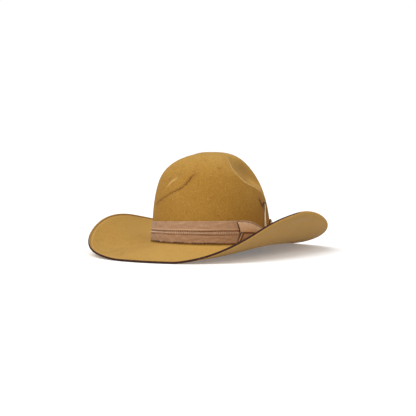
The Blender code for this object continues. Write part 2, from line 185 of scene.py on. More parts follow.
@dataclass(frozen=True)
class HatForm:
    """The felt's outer face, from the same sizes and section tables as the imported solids."""

    head_length: float = 0.206
    head_width: float = 0.172
    squareness: float = 2.15
    crown_height: float = 0.1408
    crown_taper: float = 0.05
    felt: float = 0.0022
    break_radius: float = 0.0015
    brim_width: float = 0.1035
    brim_side_width: float = 0.0950
    curl_power: float = 1.4
    flattened: float = 0.0014
    flatten_blend: float = 0.0006
    rest: float = 0.0030
    section_steps: int = 48
    outline_steps: int = 64
    # azimuth, slope at crown, slope at edge
    brim_sections: tuple = (
        (0, -9, -11),
        (30, -19, 15),
        (60, -13, 71),
        (90, -2, 88),
        (120, -1, 84),
        (150, -8, 35),
        (180, -8, -5),
        (210, -2, 12),
        (240, -4, 41),
        (270, 1, 55),
        (300, 5, 41),
        (330, -17, 22),
    )
    # azimuth, fullness
    crown_sections: tuple = (
        (0, 3.35),
        (45, 3.0),
        (90, 3.05),
        (135, 2.4),
        (180, 2.45),
        (225, 2.8),
        (270, 3.2),
        (315, 3.3),
    )
    # azimuth, height, half width, half height, depth, sharpness, tilt
    dents: tuple = (
        (100, 0.794, 0.26, 0.211, 0.088, 1.4, -27),
        (310, 0.931, 0.25, 0.344, 0.062, 2.0, 0),
    )

    def radius(self) -> float:
        """Return the crown's mean radius at its foot."""
        return (self.head_length + self.head_width) / 4

    def oval(self, azimuth: Array) -> Array:
        """Follow the oval at the foot of the crown.

        Args:
            azimuth: azimuths in radians.

        Returns:
            Its points, as x and y.
        """
        across = np.sin(azimuth)
        along = -np.cos(azimuth)
        reach = np.abs(across / (self.head_width / 2)) ** self.squareness
        reach = reach + np.abs(along / (self.head_length / 2)) ** self.squareness
        reach = reach ** (-1 / self.squareness)
        return np.stack([reach * across, reach * along], -1)

    def outward(self, azimuth: Array) -> Array:
        """Return the level direction square to the oval, away from it."""
        run = self.oval(azimuth + PROBE) - self.oval(azimuth - PROBE)
        return unit(np.stack([run[..., 1], -run[..., 0]], -1))

    def reach(self, azimuth: Array) -> Array:
        """Return the brim's width along the felt."""
        return self.brim_width + (self.brim_side_width - self.brim_width) * np.sin(azimuth) ** 2

    def section(self, azimuth: Array, share: Array) -> tuple[Array, Array]:
        """Follow the brim's section outwards.

        Args:
            azimuth: azimuths in radians.
            share: share of the brim's width, from the crown.

        Returns:
            How far out and how far up the brim has gone.
        """
        steps = (np.arange(self.section_steps) + 0.5) / self.section_steps * share[..., None]
        start = closed_spline(self.brim_sections, 1)(azimuth)[..., None]
        end = closed_spline(self.brim_sections, 2)(azimuth)[..., None]
        slope = np.radians(start + (end - start) * steps**self.curl_power)
        length = self.reach(azimuth) * share
        return length * np.cos(slope).mean(-1), length * np.sin(slope).mean(-1)

    def dip(self, degrees: float) -> float:
        """Return how far the brim's edge lies under the foot of the crown."""
        return -float(self.section(np.array([math.radians(degrees)]), np.ones(1))[1][0])

    def foot(self, azimuth: Array) -> Array:
        """Return the height of the foot of the crown over the floor."""
        lean = (self.dip(0) - self.dip(180)) / 2
        return self.foot_middle() + lean * np.cos(azimuth)

    def foot_middle(self) -> float:
        """Return the mean height of the foot of the crown over the floor."""
        return self.rest - self.flattened + (self.dip(0) + self.dip(180)) / 2

    def settled(self, height: Array) -> Array:
        """Lay the dips of the brim flat on the floor.

        Args:
            height: heights of the brim over the floor.

        Returns:
            The heights once it has settled.
        """
        over = height - self.rest
        blend = (over + self.flatten_blend) ** 2 / (4 * self.flatten_blend)
        over = np.where(over > self.flatten_blend, over, np.where(over < -self.flatten_blend, 0.0, blend))
        return self.rest + over

    def centre(self) -> Array:
        """Find the middle of the brim's outline, where the model's origin stands.

        Returns:
            The point on the floor.
        """
        edge = self.brim(around(self.outline_steps), np.ones(self.outline_steps))
        return np.append((edge[:, :2].max(0) + edge[:, :2].min(0)) / 2, 0.0)

    def brim(self, azimuth: Array, share: Array) -> Array:
        """Follow the brim's upper face.

        Args:
            azimuth: azimuths in radians.
            share: shares of the brim's width, from the crown.

        Returns:
            Points on it.
        """
        out, up = self.section(azimuth, share)
        plan = self.oval(azimuth) + self.outward(azimuth) * out[..., None]
        return np.concatenate([plan, self.settled(self.foot(azimuth) + up)[..., None]], -1)

    def crown(self, azimuth: Array, height: Array) -> Array:
        """Follow the crown's undented face.

        Args:
            azimuth: azimuths in radians.
            height: heights over the break.

        Returns:
            Points on it.
        """
        share = np.clip(height / self.crown_height, 0, 1)
        power = closed_spline(self.crown_sections, 1)(azimuth)
        narrow = (1 - share**power) ** (1 / power) * (1 - self.crown_taper * share)
        plan = self.oval(azimuth) * narrow[..., None]
        rise = self.foot(azimuth) * (1 - share) + self.foot_middle() * share + self.break_radius + height
        return np.concatenate([plan, rise[..., None]], -1)

    def frame_at(self, azimuth: Array, height: Array) -> tuple[Array, Array, Array, Array]:
        """Find the crown's undented wall.

        Args:
            azimuth: azimuths in radians.
            height: heights over the break.

        Returns:
            Points, and the directions along, up and out.
        """
        azimuth, height = np.broadcast_arrays(np.asarray(azimuth, float), np.asarray(height, float))
        along = unit(self.crown(azimuth + PROBE, height) - self.crown(azimuth - PROBE, height))
        up = unit(self.crown(azimuth, height + PROBE) - self.crown(azimuth, np.maximum(height - PROBE, 0)))
        return self.crown(azimuth, height), along, up, unit(np.cross(along, up))

    def pressed(self, points: Array) -> Array:
        """Push the dents into the crown.

        Args:
            points: points of the undented crown.

        Returns:
            The points of the dented crown.
        """
        for azimuth, height, half_width, half_height, depth, sharpness, tilt in self.dents:
            centre, along, up, out = self.frame_at(math.radians(azimuth), height * self.crown_height)
            turn = math.radians(tilt)
            long_way = along * math.cos(turn) + up * math.sin(turn)
            short_way = up * math.cos(turn) - along * math.sin(turn)
            away = points - centre
            reach = (away @ long_way / (half_width * self.head_width)) ** 2
            reach = reach + (away @ short_way / (half_height * self.crown_height)) ** 2
            same_side = away @ out > -self.head_width / 3
            push = np.where(same_side, np.clip(1 - reach, 0, 1) ** sharpness, 0)
            points = points - out * (push * depth * self.crown_height)[..., None]
        return points

    def azimuth_at(self, start: float, distance: Array) -> Array:
        """Walk along the foot of the crown, up to a quarter turn either way.

        Args:
            start: azimuth to start from, in radians.
            distance: distances from there in metres, towards the back.

        Returns:
            The azimuths reached.
        """
        fine = np.radians(np.arange(-90, 90.5, 0.5)) + start
        run = travelled(self.oval(fine))
        return np.interp(distance, run - np.interp(start, fine, run), fine)


FORM = HatForm()
CENTRE = FORM.centre()


# Meshes


def add_object(name: str, data: bpy.types.ID) -> bpy.types.Object:
    """Add an object at the origin, unturned and unscaled.

    Args:
        name: its name.
        data: the mesh, light or camera that it shows.

    Returns:
        The object.
    """
    made = bpy.data.objects.new(name, data)
    bpy.context.scene.collection.objects.link(made)
    return made


def add_mesh(name: str, points: Array, faces: Sequence[Sequence[int]], fields: dict[str, Array]) -> bpy.types.Object:
    """Make a smooth object at the origin from points in the hat's own frame.

    Args:
        name: the piece's name.
        points: vertices before they are centred.
        faces: vertex indices of each face.
        fields: values for each vertex, by attribute name.

    Returns:
        The new object.
    """
    mesh = bpy.data.meshes.new(name)
    mesh.from_pydata((points - CENTRE).tolist(), [], [list(map(int, face)) for face in faces])
    for key, values in fields.items():
        attribute = mesh.attributes.new(key, "FLOAT", "POINT")
        attribute.data.foreach_set("value", np.ascontiguousarray(values, dtype=np.float32).ravel())
    mesh.validate()
    mesh.shade_smooth()
    return add_object(name, mesh)


def quads(rows: int, columns: int, rows_close: bool, columns_close: bool) -> Array:
    """Make the faces of a grid of points.

    Args:
        rows: number of rows, which follow each other in the points.
        columns: number of points in a row.
        rows_close: whether the last row joins the first.
        columns_close: whether each row closes into a ring.

    Returns:
        Four vertex numbers for each face.
    """
    row = np.arange(rows if rows_close else rows - 1)
    column = np.arange(columns if columns_close else columns - 1)
    near, place = np.meshgrid(row, column, indexing="ij")
    far = (near + 1) % rows
    after = (place + 1) % columns
    corners = [near * columns + place, far * columns + place, far * columns + after, near * columns + after]
    return np.stack(corners, -1).reshape(-1, 4)


def grid_normals(points: Array) -> Array:
    """Find which way a surface faces.

    Args:
        points: grid of its points, each row closed into a ring.

    Returns:
        Normals 1 long at the points, facing outwards and up.
    """
    down = np.gradient(points, axis=0)
    wrapped = np.concatenate([points[:, -1:], points, points[:, :1]], 1)
    along = np.gradient(wrapped, axis=1)[:, 1:-1]
    return unit(np.cross(down, along))


def shell(grid: Array, wall: Array) -> tuple[Array, list]:
    """Give a grid of points a wall, with its edges closed.

    Args:
        grid: outer points in rows and columns.
        wall: for each point, the step from the outer to the inner face.

    Returns:
        Points and faces of the closed patch.
    """
    rows, columns = grid.shape[:2]
    count = rows * columns
    outer = quads(rows, columns, False, False)
    faces = outer.tolist() + (outer[:, ::-1] + count).tolist()
    index = np.arange(count).reshape(rows, columns)
    loop = np.concatenate([index[0], index[1:, -1], index[-1, -2::-1], index[-2:0:-1, 0]])
    after = np.roll(loop, -1)
    faces += np.stack([loop, after, after + count, loop + count], -1).tolist()
    return np.concatenate([grid.reshape(-1, 3), (grid + wall).reshape(-1, 3)]), faces


# Shader maths


class Signal:
    """A shader socket that takes part in Python arithmetic."""

    def __init__(self, tree: "ShaderTree", socket: bpy.types.NodeSocket) -> None:
        """Wrap a socket of a shader tree."""
        self.tree = tree
        self.socket = socket

    def maths(self, operation: str, *values: Any) -> "Signal":
        """Return a Math node's result on values."""
        return self.tree.node("ShaderNodeMath", {"operation": operation}, dict(enumerate(values)))

    def __add__(self, other: Any) -> "Signal":
        """Return self + other."""
        return self.maths("ADD", self, other)

    def __sub__(self, other: Any) -> "Signal":
        """Return self - other."""
        return self.maths("SUBTRACT", self, other)

    def __rsub__(self, other: Any) -> "Signal":
        """Return other - self."""
        return self.maths("SUBTRACT", other, self)

    def __mul__(self, other: Any) -> "Signal":
        """Return self * other."""
        return self.maths("MULTIPLY", self, other)

    def __truediv__(self, other: Any) -> "Signal":
        """Return self / other."""
        return self.maths("DIVIDE", self, other)

    def bell(self, width: Any) -> "Signal":
        """Return a soft bump that is 1 where self is 0 and fades over a width."""
        ratio = self / width
        return self.maths("EXPONENT", ratio * ratio * -1.0)

    def between(self, low: float, high: float) -> "Signal":
        """Turn self into a smooth step.

        Args:
            low: where the step is 0, and beyond.
            high: where it is 1, and beyond; it may lie under low.

        Returns:
            The step.
        """
        if low > high:
            return 1.0 - self.between(high, low)
        settings = {"interpolation_type": "SMOOTHSTEP"}
        sockets = {"Value": self, "From Min": low, "From Max": high, "To Min": 0.0, "To Max": 1.0}
        return self.tree.node("ShaderNodeMapRange", settings, sockets)


class ShaderTree:
    """A material's node tree, built from Python expressions."""

    def __init__(self, name: str) -> None:
        """Start a material with an empty tree.

        Args:
            name: the material's name.
        """
        self.material = bpy.data.materials.new(name)
        self.material.use_nodes = True
        self.material.node_tree.nodes.clear()

    def node(self, kind: str, settings: dict[str, Any], sockets: dict[Any, Any], output: Any = 0) -> Signal:
        """Add one node.

        Args:
            kind: the node's type.
            settings: properties, set first.
            sockets: values or signals, by socket identifier, name or number.
            output: which output to return.

        Returns:
            The output, wrapped.
        """
        made = self.material.node_tree.nodes.new(kind)
        for key, value in settings.items():
            setattr(made, key, value)
        for key, value in sockets.items():
            self.feed(self.find(made.inputs, key), value)
        return Signal(self, self.find(made.outputs, output) if len(made.outputs) else None)

    @staticmethod
    def find(sockets: Any, key: Any) -> bpy.types.NodeSocket:
        """Find a socket.

        Args:
            sockets: a node's inputs or outputs.
            key: its number, identifier or name, tried in this order.

        Returns:
            The socket.
        """
        if isinstance(key, int):
            return sockets[key]
        for socket in sockets:
            if socket.identifier == key:
                return socket
        return sockets[key]

    def feed(self, socket: bpy.types.NodeSocket, value: Any) -> None:
        """Link a signal to a socket, or set its value.

        Args:
            socket: an input.
            value: a signal, a colour or a number.
        """
        if isinstance(value, Signal):
            self.material.node_tree.links.new(value.socket, socket)
        elif isinstance(value, tuple) and socket.type == "RGBA":
            socket.default_value = (*value, 1.0)
        else:
            socket.default_value = value

    def place(self) -> Signal:
        """Return the object coordinates in metres."""
        return self.node("ShaderNodeTexCoord", {}, {}, "Object")

    def field(self, name: str) -> Signal:
        """Return one of the mesh's own values."""
        return self.node("ShaderNodeAttribute", {"attribute_name": name}, {}, "Fac")

    def grain(self, scale: float, detail: float = 3.0, rough: float = 0.55, stretch: Colour = (1, 1, 1)) -> Signal:
        """Make noise on the object coordinates.

        Args:
            scale: waves per metre.
            detail: number of finer layers.
            rough: how strong they are.
            stretch: factors along the axes; less than 1 draws the noise out.

        Returns:
            The noise, from 0 to 1.
        """
        place = self.node("ShaderNodeVectorMath", {"operation": "MULTIPLY"}, {0: self.place(), 1: stretch})
        sockets = {"Vector": place, "Scale": scale, "Detail": detail, "Roughness": rough}
        return self.node("ShaderNodeTexNoise", {}, sockets, "Fac")

    def hatches(self, name: str, pitch: float, rarity: float) -> Signal:
        """Return short strokes across a mark, from 0 to 1.

        Args:
            name: the mark's name.
            pitch: strokes per metre.
            rarity: how much of the pattern stays empty, from 0 to 1.

        Returns:
            The strokes.
        """
        along = self.field(name + "_along") * pitch
        across = self.field(name + "_across") * (pitch * 0.22)
        spot = self.node("ShaderNodeCombineXYZ", {}, {"X": along, "Y": across})
        sockets = {"Vector": spot, "Scale": 1.0, "Detail": 2.0, "Roughness": 0.6}
        return self.node("ShaderNodeTexNoise", {}, sockets, "Fac").between(rarity - 0.06, rarity + 0.06)

    def mix(self, factor: Any, first: Any, second: Any) -> Signal:
        """Return two colours mixed by a factor."""
        sockets = {"Factor_Float": factor, "A_Color": first, "B_Color": second}
        return self.node("ShaderNodeMix", {"data_type": "RGBA"}, sockets, "Result_Color")

    def glaze(self, colour: Signal, *layers: tuple) -> Signal:
        """Lay colours over each other.

        Args:
            colour: the lowest colour.
            *layers: factor and colour of each layer, the lowest first.

        Returns:
            The colour on top.
        """
        for factor, over in layers:
            colour = self.mix(factor, colour, over)
        return colour

    def bump(self, height: Signal, depth: float) -> Signal:
        """Return a normal raised by a height from 0 to 1 over a depth in metres."""
        return self.node("ShaderNodeBump", {}, {"Strength": 1.0, "Distance": depth, "Height": height})

    def finish(self, colour: Any, roughness: Any, normal: Signal | None, **uniform: Any) -> bpy.types.Material:
        """End the tree in a Principled shader.

        Args:
            colour: the base colour.
            roughness: the roughness.
            normal: the bumped normal, or None.
            **uniform: values of other sockets, by name with _ for a space.

        Returns:
            The finished material.
        """
        sockets = {"Base Color": colour, "Roughness": roughness}
        if normal is not None:
            sockets["Normal"] = normal
        sockets.update({key.replace("_", " "): value for key, value in uniform.items()})
        surface = self.node("ShaderNodeBsdfPrincipled", {}, sockets)
        self.node("ShaderNodeOutputMaterial", {}, {"Surface": surface})
        return self.material


# Finishes


@dataclass(frozen=True)
class FeltFinish:
    """Worn golden felt: mottled nap, a cracked crease, stains, a dim underside, a paler line inside the edge
    underneath, a painted highlight inside the edge on top, painted light on the brim, and painted shade and highlights
    along some marks.
    """

    light: Colour = (0.474, 0.267, 0.058)
    middle: Colour = (0.354, 0.175, 0.0255)
    deep: Colour = (0.248, 0.107, 0.011)
    under: Colour = (0.288, 0.159, 0.048)
    # pale flecks in the nap, and the painted highlight along the brim's edge and along raised rims
    rim: Colour = (0.640, 0.405, 0.140)
    # painted shade for the pressed hollows, the folds and the brim's wrinkles
    hollow_shade: Colour = (0.215, 0.120, 0.036)
    crack: Colour = (0.085, 0.022, 0.009)
    speck: Colour = (0.260, 0.070, 0.022)
    # painted light, for the brighter patches on the brim and in the dent
    bright: Colour = (0.640, 0.375, 0.092)
    # near black: the painted shadow inside the lace's hole
    hole_shadow: Colour = (0.006, 0.004, 0.003)
    grey: Colour = (0.26, 0.20, 0.15)
    # how far in from the edge the lines run: the painted highlight above, the paler line below, and the rubbed one
    # below
    highlight_above: float = 0.0040
    line_below: float = 0.0030
    line_rubbed: float = 0.0110
    wobble: float = 0.0016

    def material(self) -> bpy.types.Material:
        """Build the felt material.

        Returns:
            The material, which reads the fields of the felt body.
        """
        tree = ShaderTree("felt")
        cloud = tree.grain(14, 4, 0.6)
        patch = tree.grain(70, 3, 0.6)
        speck = tree.grain(420, 3, 0.7)
        fibre = tree.grain(1500, 2, 0.7)
        pale = tree.field("pale")
        lower = tree.field("lower")
        rim = tree.field("rim")
        wobble = patch * self.wobble
        # a painted highlight just inside the edge, on the upper face
        line = (rim - self.highlight_above - wobble).bell(0.0010) * (1.0 - lower)
        edge = (rim - self.line_below).bell(0.0011) * lower
        rubbed = (rim - self.line_rubbed - wobble).bell(0.0012) * lower * cloud.between(0.45, 0.62)
        colour = tree.glaze(
            tree.mix(pale * 0.85 + cloud.between(0.35, 0.68) * 0.25, self.middle, self.light),
            (patch.between(0.48, 0.75) * 0.22, self.deep),
            (speck.between(0.48, 0.70) * 0.45, self.deep),
            (speck.between(0.48, 0.30) * 0.22, self.rim),
            # painted light: brighter patches on the brim's upper face, and a little on the inner face
            (tree.field("lit"), self.bright),
            (lower * 0.75, self.under),
            (line * 0.5, self.rim),
            (edge * 0.45, self.light),
            (rubbed * 0.30, self.grey),
        )
        for mark in FELT_MARKS:
            colour = mark.paint(tree, colour, self)
        height = fibre * 0.5 + speck * 0.5 + patch * 0.6
        sheen = {"Sheen_Weight": 0.08, "Sheen_Roughness": 0.6, "Sheen_Tint": (1.0, 0.85, 0.5)}
        return tree.finish(colour, 0.92, tree.bump(height, 0.0005), **sheen, Specular_IOR_Level=0.15)


@dataclass(frozen=True)
class FeltMark:
    """A mark that runs over the felt's outside: a crack, a stain or a painted shadow, a pressed hollow with painted
    shade, a raised rim with a painted highlight, a patch of painted light, specks, or the painted shadow inside a
    hole.
    """

    name: str
    kind: MarkKind
    # azimuth in degrees, share of the crown's height or of the brim's width, strength
    route: tuple
    width: float
    rise: float = 0.0
    ragged: float = 0.0
    on_brim: bool = False
    course_steps: int = 200
    parts: int = 40
    # distance in metres that stands for everything further off, and where the mark's strength fades out
    far_off: float = 0.05
    fade_end: float = 0.03
    fade: float = 0.01

    def curve(self) -> tuple[Array, Array]:
        """Follow the mark's course.

        Returns:
            Its points on the dented crown or on the brim, and its strength there.
        """
        rows = np.array(self.route, float)
        knots = np.linspace(0, 1, len(rows))
        fine = np.linspace(0, 1, self.course_steps)
        azimuth = eased(fine, list(zip(knots, np.radians(rows[:, 0]))))
        share = eased(fine, list(zip(knots, rows[:, 1])))
        strength = eased(fine, list(zip(knots, rows[:, 2])))
        if self.on_brim:
            return FORM.brim(azimuth, share), strength
        return FORM.pressed(FORM.crown(azimuth, share * FORM.crown_height)), strength

    def measure(self, points: Array) -> tuple[Array, Array, Array]:
        """Measure points against the mark's course.

        Args:
            points: the felt's outer points.

        Returns:
            Signed distance across the mark, distance along it, and its strength.
        """
        curve, power = self.curve()
        run = np.gradient(curve, axis=0)
        distance = travelled(curve)
        out = curve - np.array([0, 0, FORM.head_width / 2])
        side = np.cross(out, run)
        across = np.zeros(len(points))
        along = np.zeros(len(points))
        strength = np.zeros(len(points))
        # in parts, so that the table of distances stays small
        for chunk in np.array_split(np.arange(len(points)), self.parts):
            away = points[chunk][:, None, :] - curve[None]
            far = np.linalg.norm(away, axis=-1)
            closest = far.argmin(1)
            sign = np.sign((side[closest] * away[np.arange(len(chunk)), closest]).sum(-1))
            nearest = far.min(1)
            across[chunk] = np.minimum(nearest, self.far_off) * sign
            along[chunk] = distance[closest]
            strength[chunk] = power[closest] * np.clip((self.fade_end - nearest) / self.fade, 0, 1)
        return across, along, strength

    def lift(self, points: Array) -> Array:
        """Find how far the mark raises the felt.

        Args:
            points: the felt's outer points.

        Returns:
            The rise at each.
        """
        if not self.rise:
            return np.zeros(len(points))
        across, _, strength = self.measure(points)
        return self.rise * strength * bell(across, self.width)

    def fields(self, points: Array, count: int) -> dict[str, Array]:
        """Make the mark's fields.

        Args:
            points: the felt's outer points.
            count: number of the felt's vertices, the outer points first.

        Returns:
            The fields across, along and power under the mark's name.
        """
        across, along, strength = self.measure(points)
        if self.kind is MarkKind.SHADOWED_HOLE:
            across = np.abs(across)
        values = zip(("across", "along", "power"), (across, along, strength), (self.far_off, 0.0, 0.0))
        fields = {}
        for key, near, rest in values:
            fields[f"{self.name}_{key}"] = np.concatenate([near, np.full(count - len(points), rest)])
        return fields

    def paint(self, tree: ShaderTree, colour: Signal, finish: FeltFinish) -> Signal:
        """Paint the mark.

        Args:
            tree: the felt's shader.
            colour: the felt's colour so far.
            finish: the felt's look.

        Returns:
            The colour with the mark on it.
        """
        across = tree.field(self.name + "_across")
        power = tree.field(self.name + "_power")
        # a painted highlight along a raised rim
        if self.kind is MarkKind.RIM:
            return tree.mix(across.bell(self.width * 0.45) * power * 0.85, colour, finish.rim)
        # painted light, a pool of brightness over the felt
        if self.kind is MarkKind.GLOW:
            return tree.mix(across.bell(self.width) * power * 0.4, colour, finish.bright)
        if self.kind is MarkKind.SPECKS:
            dots = tree.grain(330, 3, 0.7).between(0.55, 0.64)
            return tree.mix(dots * across.bell(self.width) * power, colour, finish.speck)
        # the painted shadow inside a hole, a dark oval round the opening
        if self.kind is MarkKind.SHADOWED_HOLE:
            return tree.mix(across.between(self.width, self.width * 0.7) * power, colour, finish.hole_shadow)
        # painted shade that darkens a pressed hollow
        if self.kind is MarkKind.HOLLOW:
            shaded = (across + (tree.grain(90, 2) - 0.5) * self.ragged).bell(self.width) * power
            return tree.mix(shaded * 0.42, colour, finish.hollow_shade)
        # cracks, real stains and painted shadows: a dark halo and a dark core
        shake = (tree.grain(420, 3, 0.7) - 0.5) * self.ragged
        halo = across.bell(self.width * 3.6) * power
        colour = tree.mix(halo * 0.40, colour, finish.deep)
        beat = tree.grain(260, 3, 0.7).between(0.36, 0.56)
        core = (across + shake).bell(self.width) * (beat * 0.6 + 0.5)
        if self.kind is MarkKind.CRACK:
            hatch = tree.hatches(self.name, 700.0, 0.56)
            core = core.maths("MAXIMUM", core, hatch * across.bell(self.width * 2.2) * 0.8)
        return tree.mix(core.maths("MINIMUM", core * power, 0.95), colour, finish.crack)


FELT_MARKS = (
    FeltMark(
        "crease",
        MarkKind.CRACK,
        (
            (336.0, 0.420, 0.60), (351.0, 0.508, 0.60), (359.6, 0.560, 0.80), (367.3, 0.599, 0.85),
            (373.6, 0.669, 1.00), (375.8, 0.711, 1.10), (378.0, 0.738, 0.70), (380.2, 0.762, 0.25),
            (381.2, 0.775, 0.00),
        ),
        width=0.0009, rise=-0.0002, ragged=0.0075,
    ),
    FeltMark(
        "crease_end",
        MarkKind.SPECKS,
        (
            (377.0, 0.725, 0.6), (380.9, 0.775, 1.0), (380.7, 0.834, 0.7),
            (384.3, 0.909, 0.9), (386.5, 0.949, 0.8), (392.0, 0.955, 0.2),
        ),
        width=0.0045,
    ),
    FeltMark(
        "spare_hole_tear",
        MarkKind.STAIN_OR_SHADOW,
        ((101.5, 0.487, 0.25), (104, 0.462, 0.85), (106.5, 0.428, 1.05), (109.5, 0.405, 1.0)),
        width=0.0029, ragged=0.0045,
    ),
    # the lace's painted shadow on the felt, drawn as a dark line
    FeltMark("lace_shade", MarkKind.STAIN_OR_SHADOW, ((118.5, 0.40, 1.0), (113.5, 0.30, 1.0), (111.0, 0.16, 0.9)), width=0.0030),
    # painted shadow inside the lace's hole
    FeltMark(
        "lace_hole_shadow",
        MarkKind.SHADOWED_HOLE,
        ((113.6, 0.421, 1.0), (115.5, 0.420, 1.0), (117.8, 0.418, 1.0)),
        width=0.0040,
    ),
    # painted shade in the brim's wrinkle
    FeltMark(
        "brim_wrinkle_front",
        MarkKind.HOLLOW,
        ((338, 0.50, 0.0), (346, 0.66, 0.8), (354, 0.86, 0.2)),
        width=0.0022, rise=-0.0002, ragged=0.004, on_brim=True,
    ),
    # painted shade in the brim's wrinkle
    FeltMark(
        "brim_wrinkle_left",
        MarkKind.HOLLOW,
        ((328, 0.42, 0.0), (335, 0.60, 0.7), (341, 0.82, 0.1)),
        width=0.0026, rise=-0.0002, ragged=0.004, on_brim=True,
    ),
    FeltMark(
        "top_mark",
        MarkKind.STAIN_OR_SHADOW,
        ((44, 0.835, 0.1), (47, 0.823, 0.4), (50.5, 0.813, 0.1)),
        width=0.0009, ragged=0.002,
    ),
    # painted highlight along the dent's raised rim
    FeltMark(
        "dent_rim",
        MarkKind.RIM,
        (
            (64, 0.950, 0.1), (67.6, 0.900, 0.6), (67.9, 0.804, 1.0), (74, 0.721, 1.0), (81.8, 0.663, 1.0),
            (97.7, 0.623, 0.9), (110, 0.569, 0.6), (123, 0.509, 0.5), (130, 0.450, 0.1),
        ),
        width=0.0036, rise=0.0012,
    ),
    # painted light in the dent's lower part
    FeltMark(
        "dent_glow",
        MarkKind.GLOW,
        ((100, 0.740, 0.2), (108, 0.700, 1.0), (116, 0.640, 1.0), (124, 0.560, 0.5), (130, 0.500, 0.1)),
        width=0.0105,
    ),
    FeltMark(
        "dent_shadow",
        MarkKind.HOLLOW,
        (
            (72, 0.940, 0.3), (80, 0.895, 0.7), (95, 0.865, 0.9),
            (107.6, 0.842, 1.0), (118, 0.800, 0.5), (124, 0.76, 0.1),
        ),
        width=0.0120, ragged=0.0060,
    ),
    # painted shade in the fold's hollow
    FeltMark(
        "left_fold",
        MarkKind.HOLLOW,
        ((350, 0.675, 0.2), (352, 0.702, 1.0), (355.5, 0.745, 0.2)),
        width=0.0032, rise=-0.0007,
    ),
    # painted shade in the fold's hollow
    FeltMark(
        "right_fold",
        MarkKind.HOLLOW,
        ((360, 0.700, 0.2), (362, 0.750, 1.0), (364, 0.780, 0.2)),
        width=0.0034, rise=-0.0008,
    ),
    # painted highlight along the ridge between the two folds
    FeltMark(
        "fold_ridge",
        MarkKind.RIM,
        ((352, 0.630, 0.5), (355, 0.668, 0.8), (359.4, 0.700, 0.6), (361, 0.735, 0.1)),
        width=0.0040, rise=0.0007,
    ),
)


@dataclass(frozen=True)
class BindingFinish:
    """Dark stained edge whose folded legs are worn back to the felt's colour, an orange that also stands for the
    painted highlight just inside the edge.
    """

    dark: Colour = (0.040, 0.019, 0.015)
    worn: Colour = (0.100, 0.055, 0.038)
    # felt colour, made orange to paint the highlight just inside the edge
    leg: Colour = (0.470, 0.250, 0.065)

    def material(self) -> bpy.types.Material:
        """Build the binding material.

        Returns:
            The material, which reads the fields leg and bare.
        """
        tree = ShaderTree("binding")
        wear = tree.grain(240, 3, 0.7).between(0.50, 0.72)
        colour = tree.glaze(
            tree.mix(wear * 0.55, self.dark, self.worn),
            (tree.field("leg").between(0.55, 0.95), self.leg),
            (tree.field("bare"), self.leg),
        )
        height = tree.grain(1300, 2, 0.6)
        return tree.finish(colour, 0.95, tree.bump(height, 0.0003), Specular_IOR_Level=0.08)


@dataclass(frozen=True)
class RibbonFinish:
    """Dusty rose-brown ribbon with a fine weave, a painted highlight along its raised folds and painted shade in its
    grooves.
    """

    name: str
    base: Colour
    pale: Colour
    groove: Colour
    frayed: Colour = (0.045, 0.022, 0.018)

    def material(self) -> bpy.types.Material:
        """Build the ribbon material.

        Returns:
            The material, which reads the fields raised, tone and hem, and the UV map "cloth".
        """
        tree = ShaderTree(self.name)
        cloud = tree.grain(110, 3, 0.6, (1, 1, 2.2))
        speck = tree.grain(460, 3, 0.7)
        raised = tree.field("raised")
        colour = tree.glaze(
            tree.mix(cloud.between(0.42, 0.66) * 0.35, self.base, self.pale),
            (speck.between(0.50, 0.72) * 0.40, self.groove),
            # tone pales the band above its seam and towards the wearer's left, and is the painted light on the bow's
            # upper flaps
            (tree.field("tone"), self.pale),
            # painted highlight on the ridges, painted shade in the grooves
            (raised.between(0.15, 1.0) * 0.75, self.pale),
            (raised.between(-0.05, -0.8) * 0.9, self.groove),
            (tree.field("hem") * tree.grain(120, 3, 0.6).between(0.30, 0.55), self.frayed),
        )
        bump = tree.bump(self.weave(tree) * 0.5 + speck * 0.5, 0.00035)
        return tree.finish(colour, 0.80, bump, Sheen_Weight=0.15, Sheen_Roughness=0.5, Specular_IOR_Level=0.25)

    @staticmethod
    def weave(tree: ShaderTree) -> Signal:
        """Weave fine ribs and threads on the piece's UV map.

        Args:
            tree: the ribbon's shader.

        Returns:
            Their height, from 0 to 1.
        """
        uv = tree.node("ShaderNodeUVMap", {"uv_map": "cloth"}, {})
        x, y = (tree.node("ShaderNodeSeparateXYZ", {}, {"Vector": uv}, output) for output in "XY")
        # a wave every 1.2 mm along the ribbon and every 1.5 mm across it
        ribs = x.maths("SINE", x * 5200.0)
        threads = y.maths("SINE", y * 4200.0)
        return (ribs + threads) * 0.25 + 0.5


@dataclass(frozen=True)
class LaceFinish:
    """Pale untreated thong with a darker, dirty top end."""

    base: Colour = (0.97, 0.80, 0.55)
    edge: Colour = (0.74, 0.38, 0.13)

    def material(self) -> bpy.types.Material:
        """Build the lace material.

        Returns:
            The material, which reads the field dirty.
        """
        tree = ShaderTree("lace")
        streak = tree.grain(600, 3, 0.6, (1, 1, 0.12))
        colour = tree.mix(streak.between(0.46, 0.76) * 0.35, self.base, self.edge)
        colour = tree.mix(tree.field("dirty"), colour, self.edge)
        return tree.finish(colour, 0.6, tree.bump(streak, 0.0003), Specular_IOR_Level=0.35)


@dataclass(frozen=True)
class ThreadFinish:
    """Sewing thread, or the shadowed needle hole beside it."""

    name: str
    colour: Colour

    def material(self) -> bpy.types.Material:
        """Build the thread material.

        Returns:
            The material.
        """
        tree = ShaderTree(self.name)
        twist = tree.grain(2500, 2, 0.6)
        darker = tuple(value * 0.6 for value in self.colour)
        return tree.finish(tree.mix(twist, self.colour, darker), 0.8, tree.bump(twist, 0.0001))


# Pieces


